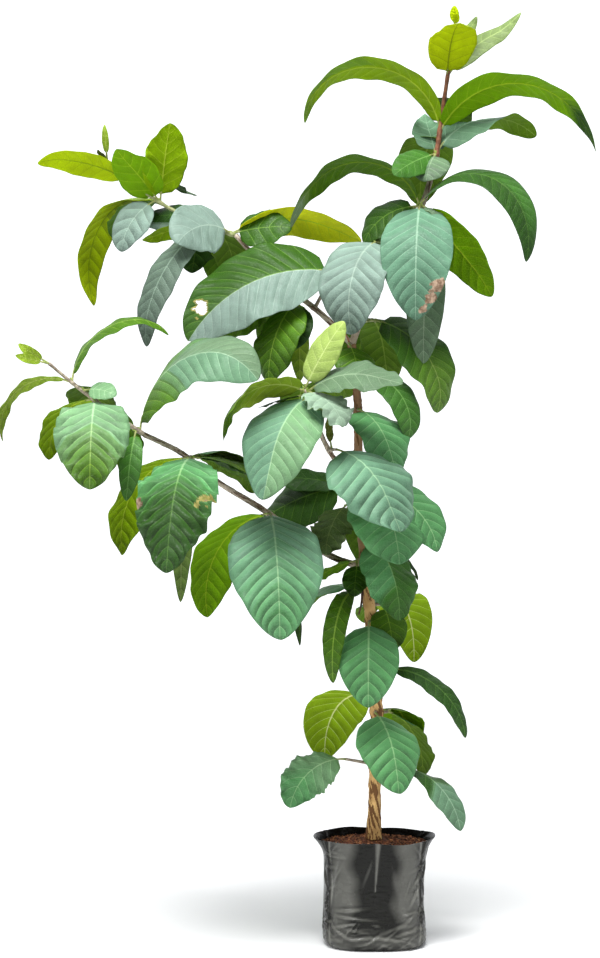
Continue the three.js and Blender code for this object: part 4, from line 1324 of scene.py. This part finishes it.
def signed_columns(row_share, leaf, fine):
    """Places across the blade from -1 to 1 for each row: margins, panels, midrib strip."""
    here = leaf.width / 2 * outline(row_share)
    rib = BLADE["midrib"] * (1 - 0.75 * row_share) * min(1, leaf.length / 90) / np.maximum(here, 0.1)
    rib = np.clip(rib, 0.012, 0.3)[:, None]
    spread = 1 - (1 - np.linspace(0, 1, BLADE["across"] * fine)) ** 1.15
    out = rib + (1 - rib) * spread[None]
    return np.concatenate([-out[:, ::-1], np.zeros((len(row_share), 1)), out], axis=1)


def ruffle(u, share, draw, crinkled):
    """How far the margins wave, as a part of the width, each half of the blade by itself."""
    beat = 2 * math.pi * draw.uniform(*RUFFLE["beats"])
    fine = RUFFLE["fine"]
    if crinkled:
        beat, fine = beat * RUFFLE["crinkled_beats"], RUFFLE["crinkled_fine"]
    phases = draw.uniform(0, 2 * math.pi, 4)
    low = np.sin(beat * share + np.where(u > 0, phases[0], phases[1]))
    high = np.sin(RUFFLE["finer"] * beat * share + np.where(u > 0, phases[2], phases[3]))
    return (low + fine * high) * np.abs(u) ** 2


def leaf_shade(leaf, phase, share, middle, quilt):
    """Hanging panels are light below a vein and dark above the next, and tips hang in shade."""
    _, way = leaf.midrib.place(0.45)
    hang = float(np.clip(-1.3 * way[..., 2], -0.5, 1).mean())
    bulge = SHADE["bulge"] * quilt / BLADE["quilt"] * (0.5 - phase) * middle
    return np.clip(0.5 + hang * (bulge - SHADE["tip"] * (share - SHADE["light_above"])), 0, 1)


def blade_grids(leaf, draw, quilt, wave, crinkled, fine):
    """Upper and lower points of a blade, its row shares, its columns and its vein gaps."""
    rows, strips, edges, first_vein, gap = vein_rows(leaf.length, fine)
    u = signed_columns(rows, leaf, fine)
    side = np.abs(u)
    q = rows[:, None]
    lean = min(BLADE["most_lean"], BLADE["lean"] * leaf.width / 2 / leaf.length)
    share = q + lean * side ** BLADE["curl"] * outline(q) - edges[:, None] * BLADE["vein_thins"] * side
    share = np.minimum(share, 0.9995)
    half = leaf.width / 2 * outline(share)
    point, across, out = leaf.frame(share)
    slope = math.tan(math.radians(LEAF["fold"])) * draw.uniform(*BLADE["fold_share"])
    height = -slope * half * side ** draw.uniform(*BLADE["fold_curve"])
    panel = np.abs(np.sin(np.pi * (q - first_vein) / gap)) ** 0.8
    middle = np.sin(np.pi * np.clip(side * 0.96 + 0.04, 0, 1)) ** 0.6
    height = height + quilt * leaf.width * panel * middle * outline(q)
    shade = leaf_shade(leaf, (q - first_vein) / gap % 1, share, middle, quilt)
    height = height + wave * leaf.width * ruffle(u, share, draw, crinkled) * outline(q)
    tip = np.maximum(0, (share - BLADE["tip_from"]) / (1 - BLADE["tip_from"])) ** 2
    height = height + draw.normal(0.2, 1) * BLADE["tip_bends"] * min(leaf.length, 110) * tip
    thick = BLADE["thick"] * (1 - 0.5 * side)
    on_rib = side < 1e-9
    rib = BLADE["rib_deep"] * min(1, leaf.length / 120) * (1 - 0.8 * q) * on_rib
    veins = BLADE["vein_deep"] * (edges != 0)[:, None] * (1 - side) * ~on_rib
    base = point + across * (u * half)[..., None]
    upper = base + out * (height + thick / 2)[..., None]
    lower = base + out * (height - thick / 2 - rib - veins)[..., None]
    return upper, lower, share, u, strips, shade


print("a blade of 120 mm has", len(vein_rows(120, 1)[0]), "rows")

# %% The skin of a blade
def split(a, b, c, d):
    """Two triangles for each cell, always cut from its first corner to its third."""
    return np.concatenate([np.stack([a, b, c], -1), np.stack([a, c, d], -1)])


def add_blade(build, upper, lower, kept, above, below, wall):
    """Closes two grids into one thin skin, with walls round whatever kept leaves out."""
    rows, width, _ = upper.shape
    under = rows * width
    i, j = np.nonzero(kept)
    a, b = i * width + j, (i + 1) * width + j
    c, d = b + 1, a + 1
    build.add(np.concatenate([upper.reshape(-1, 3), lower.reshape(-1, 3)]),
              split(a, b, c, d), np.tile(above[kept], 2))
    build.more(split(a, b, c, d)[:, ::-1] + under, np.tile(below[kept], 2))
    padded = np.pad(kept, 1)
    for beyond, first, second in ((padded[:-2, 1:-1], a, d), (padded[2:, 1:-1], c, b),
                                  (padded[1:-1, :-2], b, a), (padded[1:-1, 2:], d, c)):
        open_edge = ~beyond[kept]
        e, f = first[open_edge], second[open_edge]
        if len(e):
            build.more(np.stack([e, f, f + under, e + under], -1), wall, smooth=False)


print("a cell has", len(split(*np.arange(4)[:, None])), "triangles on each face")

# %% [markdown]
# ## Tints and damage
#
# A blade is seldom one colour. Where it bends into the light one half turns silver, and shaded
# parts go dark, so parts of some blades take another tone: painted sheen and painted shade in
# the blade's colour. Two of the large front leaves also carry brown, dried patches, and one has
# a bite through it. Those blades get a finer grid, so that a patch can have a ragged edge.

# %% Tinted, crinkled and damaged leaves
# painted light and shade: a paler tint is a painted sheen where a part faces the light, a darker one
# painted shade
SHEEN_AND_SHADE_TINTS = {  # shoot and leaf: rows from and to, columns from and to, tone, how softly it ends
    ("leader_top_leaves", 0): [(0.45, 1.1, 0.2, 1.1, "soft", 0.1),
                               (0.86, 1.1, -1.1, 1.1, "soft", 0.1)],
    ("leader_top_leaves", 1): [(0.74, 1.1, -1.1, 1.1, "dark", 0.12)],
    ("leader_middle_leaves", 0): [(0.8, 1.1, -1.1, 1.1, "silver", 0.1)],
    ("leader_middle_leaves", 1): [(0.45, 0.8, 0.1, 1.1, "moss", 0.2)],
    ("leader_foot_leaves", 0): [(0.45, 1.1, -1.1, 1.1, "spring", 0.3)],
    ("upper_left_middle_leaves", 0): [(-0.1, 1.1, 0, 1.1, "silver", 0.02)],
    ("upper_left_top_leaves", 8): [(-0.1, 1.1, 0.5, 1.1, "silver", 0.2)],
    ("middle_bough_leaves", 0): [(0.5, 1.1, -1.1, 1.1, "leafy", 0.3)],
    ("middle_bough_leaves", 4): [(0.1, 1.1, 0, 1.1, "soft", 0.02)],
    ("trunk_waist_right_leaves", 0): [(-0.1, 0.6, -1.1, 0, "green", 0.1)],
    ("low_left_middle_leaves", 0): [(0.35, 1.1, -1.1, 1.1, "dark", 0.3)],
    ("low_left_inner_leaves", 0): [(0.55, 1.1, -1.1, 1.1, "green", 0.7)],
    ("low_left_top_leaves", 4): [(0.6, 1.1, -1.1, 1.1, "leafy", 0.5)],
    ("low_left_top_leaves", 7): [(0.3, 1.1, 0.05, 1.1, "grey", 0.3),
                                 (-0.1, 0.25, -1.1, 1.1, "leafy", 0.3)],
    ("base_left_leaf", 0): [(0.45, 1.1, -1.1, 1.1, "green", 0.3)],
    ("base_right_leaf", 0): [(-0.1, 0.35, -1.1, 1.1, "dark", 0.1)],
}
TINT_STEPS = 4  # between a tone and its tint
DAMAGE = {  # shoot and leaf: share of the length, place across, size in millimetres, kind
    ("leader_middle_leaves", 3): [(0.76, 0.84, 7, "scorch"), (0.85, 0.66, 5, "scorch"),
                                  (0.92, 0.45, 4, "scorch")],
    ("low_left_middle_leaves", 0): [(0.5, -0.97, 4, "scorch"), (0.5, 0.82, 8, "scorch_edge"),
                                    (0.5, 0.84, 4, "scorch"), (0.55, 0.6, 3, "scorch_edge")],
    ("upper_left_middle_leaves", 0): [(0.8, -0.4, 8, "scorch_edge"), (0.8, -0.4, 6, "hole")],
}
CRINKLED = {("low_left_top_leaves", 4), ("middle_bough_leaves", 3), ("trunk_low_left_leaf", 0),
            ("low_left_middle_leaves", 0), ("trunk_middle_left_leaf", 0), ("base_left_leaf", 0)}
QUILTED = {("low_left_inner_leaves", 0), ("low_left_middle_leaves", 0), ("base_front_leaf", 0),
           ("middle_bough_foot_leaf", 0), ("low_left_top_leaves", 4), ("trunk_low_front_leaf", 0)}
MORE_QUILT, QUILT_RANGE = 1.7, (0.7, 1.2)  # times the usual: on those leaves, and on the others
MORE_WAVE, WAVE_RANGE = 1.6, (0.5, 1.2)
FINER = 3  # times as many rows and columns on a damaged blade
RAGGED = {"every": 0.22, "by": 0.7}  # the edge of a patch


def blended(tone, other, part):
    """The name of a tone part of the way towards another. Its finishes are made on first use."""
    if part in (0, TINT_STEPS):
        return other if part else tone
    name = f"{tone}_{other}_{part}"
    if name not in TONES:
        TONES[name] = tuple(tuple(a + (b - a) * part / TINT_STEPS for a, b in zip(first, last))
                            for first, last in zip(TONES[tone], TONES[other]))
        make_tone(name)
    return name


def tinted(key, tone, q, u):
    """The tone of each cell. Tints end along rows and columns, so they follow the veins."""
    tones = np.full((len(q), len(u)), tone, dtype=object)
    for low, high, left, right, other, soft in SHEEN_AND_SHADE_TINTS.get(key, ()):
        inside = np.minimum.outer(np.minimum(q - low, high - q), np.minimum(u - left, right - u))
        parts = np.round(TINT_STEPS * (inside / soft + 0.5)).clip(0, TINT_STEPS).astype(int)
        for part in range(1, TINT_STEPS + 1):
            tones[parts == part] = blended(tone, other, part)
    return tones


def cell_names(tones, strips, face):
    """The finish of each cell on one face of a blade."""
    rows, width = tones.shape
    kinds = np.full((rows, width), f"_{face}", dtype=object)
    kinds[strips[:rows]] = f"_vein_{face}"
    kinds[:, width // 2 - 1:width // 2 + 1] = f"_rib_{face}"
    return tones + kinds


def patch(share, u, leaf, where, across, size):
    """Which cells lie in a patch with a ragged edge."""
    along = (share - where) * leaf.length
    aside = (u - across) * leaf.width / 2 * outline(share)
    ragged = [noise.noise(Vector((x, y, where)) * RAGGED["every"])
              for x, y in zip(along.ravel(), aside.ravel())]
    return np.hypot(along, aside) < size * (1 + RAGGED["by"] * np.reshape(ragged, share.shape))


def make_blade(build, key, leaf, tone, seed):
    draw = np.random.default_rng(seed)
    crinkled = key in CRINKLED
    quilt = BLADE["quilt"] * (MORE_QUILT if key in QUILTED else draw.uniform(*QUILT_RANGE))
    wave = BLADE["wave"] * (MORE_WAVE if crinkled else draw.uniform(*WAVE_RANGE))
    fine = FINER if key in DAMAGE else 1
    upper, lower, share, u, strips, shade = blade_grids(leaf, draw, quilt, wave, crinkled, fine)
    build.shades.append(np.tile(shade.ravel(), 2))
    share = (share[:-1, :-1] + share[1:, 1:]) / 2
    u = (u[:-1, :-1] + u[1:, 1:]) / 2
    tones = tinted(key, tone, share[:, share.shape[1] // 2], u.mean(axis=0))
    above, below = cell_names(tones, strips, "above"), cell_names(tones, strips, "below")
    kept = np.ones(above.shape, bool)
    for where, across, size, kind in DAMAGE.get(key, ()):
        hit = patch(share, u, leaf, where, across, size)
        if kind == "hole":
            kept[hit] = False
        else:
            above[hit] = below[hit] = kind
    add_blade(build, upper, lower, kept, above.astype(str), below.astype(str), f"{tone}_below")


print(len(SHEEN_AND_SHADE_TINTS), "leaves are tinted and", len(DAMAGE), "damaged")

# %% [markdown]
# ## Twigs, petioles and buds
#
# A young guava twig is four-sided and swells where a pair of leaves leaves it. Each petiole
# runs from the middle of its twig into the midrib of its blade, and a small bud sits above it.

# %% Twigs
TWIG = {"sides": 16, "thins": 0.4, "node": 0.22, "node_half": 2.6, "square": 0.06}
PETIOLE = {"sides": 10, "thick": (1.05, 0.72), "places": 9, "ends_at": 0.05, "slimmer": 0.92}
BUD = {"sides": 8, "places": 7, "length": 3.6, "radius": 0.75}


def add_stem(build, name, finish):
    arc = stems[name]
    radius = SHOOTS[name][2][4]
    share = np.linspace(0, 1, max(6, int(arc.length / 2)))
    path, _ = arc.place(share)
    thin = radius * (1 - TWIG["thins"] * share)
    for row in leaves[name]:
        thin = thin + TWIG["node"] * bell((share - row[0]) * arc.length / TWIG["node_half"])
    square = 1 + TWIG["square"] * np.cos(4 * round_angles(TWIG["sides"]))
    add_tube(build, path, thin[:, None] * square[None], finish)


def add_petiole(build, leaf):
    path, _, _ = leaf.frame(np.linspace(leaf.root, PETIOLE["ends_at"], PETIOLE["places"]))
    stalk = min(LEAF["stalk"], leaf.width * LEAF["stalk_share"]) * PETIOLE["slimmer"]
    taper = np.linspace(*PETIOLE["thick"], PETIOLE["places"])
    taper[-1] = 0.3  # the end sinks into the midrib
    oval = 1 + 0.05 * np.cos(2 * round_angles(PETIOLE["sides"]))
    add_tube(build, path, stalk * taper[:, None] * oval[None], "petiole")


def add_bud(build, start, way):
    """A small spindle that ends in a point."""
    share = np.linspace(0, 1, BUD["places"])
    path = start + way * (share * BUD["length"])[:, None]
    swell = BUD["radius"] * np.sin(np.pi * (0.12 + 0.86 * share)) ** 0.8
    add_tube(build, path, np.repeat(swell[:, None], BUD["sides"], axis=1), "bud")


print("a petiole has", PETIOLE["sides"], "sides and a twig", TWIG["sides"])

# %% Dress every shoot
RED_SHOOTS = {"leader_top_leaves"}
GREEN_SHOOTS = {"upper_left_top_leaves", "leader_middle_leaves", "leader_left_leaf",
                "leader_right_leaf", "leader_foot_leaves"}
YOUNG_SHOOTS = {"leader_top_leaves", "upper_left_top_leaves"}


def make_shoot(number, name):
    blades, twigs = Build(), Build()
    bark = "red" if name in RED_SHOOTS else "green" if name in GREEN_SHOOTS else "grey"
    add_stem(twigs, name, f"{bark}_twig")
    for index, row in enumerate(leaves[name]):
        leaf = Leaf(stems[name], row)
        make_blade(blades, (name, index), leaf, row[8], 1000 * number + index)
        add_petiole(twigs, leaf)
        start, _, _ = leaf.frame(leaf.root * 0.75)
        _, way = leaf.midrib.place(0)
        up = unit(leaf.stem_way + way * 0.4)
        add_bud(twigs, start + up * 0.4, up)
    slot = "young_leaves" if name in YOUNG_SHOOTS else "leaves"
    blades.piece(f"{name}_blades", slot, name, {"shade": np.concatenate(blades.shades)})
    twigs.piece(f"{name}_twigs", slot, name)


for number, name in enumerate(SHOOTS):
    make_shoot(number, name)

# %% [markdown]
# ## What lost leaves leave behind
#
# A dried petiole hangs by the middle of the trunk, and a short pinkish stub stands in the fork.
# They are too slight for the frame, so they ride with the trunk.

# %% Stubs
STUB = {"sides": 10, "places": 9, "bends": 1.2, "thins": 0.55}
STUBS = {  # foot, tip, radius at the foot, finish
    "dry_petiole": ((-12, -6, 343), (-15.5, -9.5, 317), 1.5, "dead_twig"),
    "pink_stub": ((-23, 0.5, 565), (-28, -6, 584), 1.3, "red_twig"),
}
for name, (foot, tip, radius, finish) in STUBS.items():
    stub = Build()
    share = np.linspace(0, 1, STUB["places"])
    path = np.array(foot) + (np.array(tip) - foot) * share[:, None]
    path[:, 0] += STUB["bends"] * np.sin(np.pi * share)
    thin = radius * (1 - STUB["thins"] * share)
    add_tube(stub, path, np.repeat(thin[:, None], STUB["sides"], axis=1), finish)
    stub.piece(name, "bough_bark", "trunk")
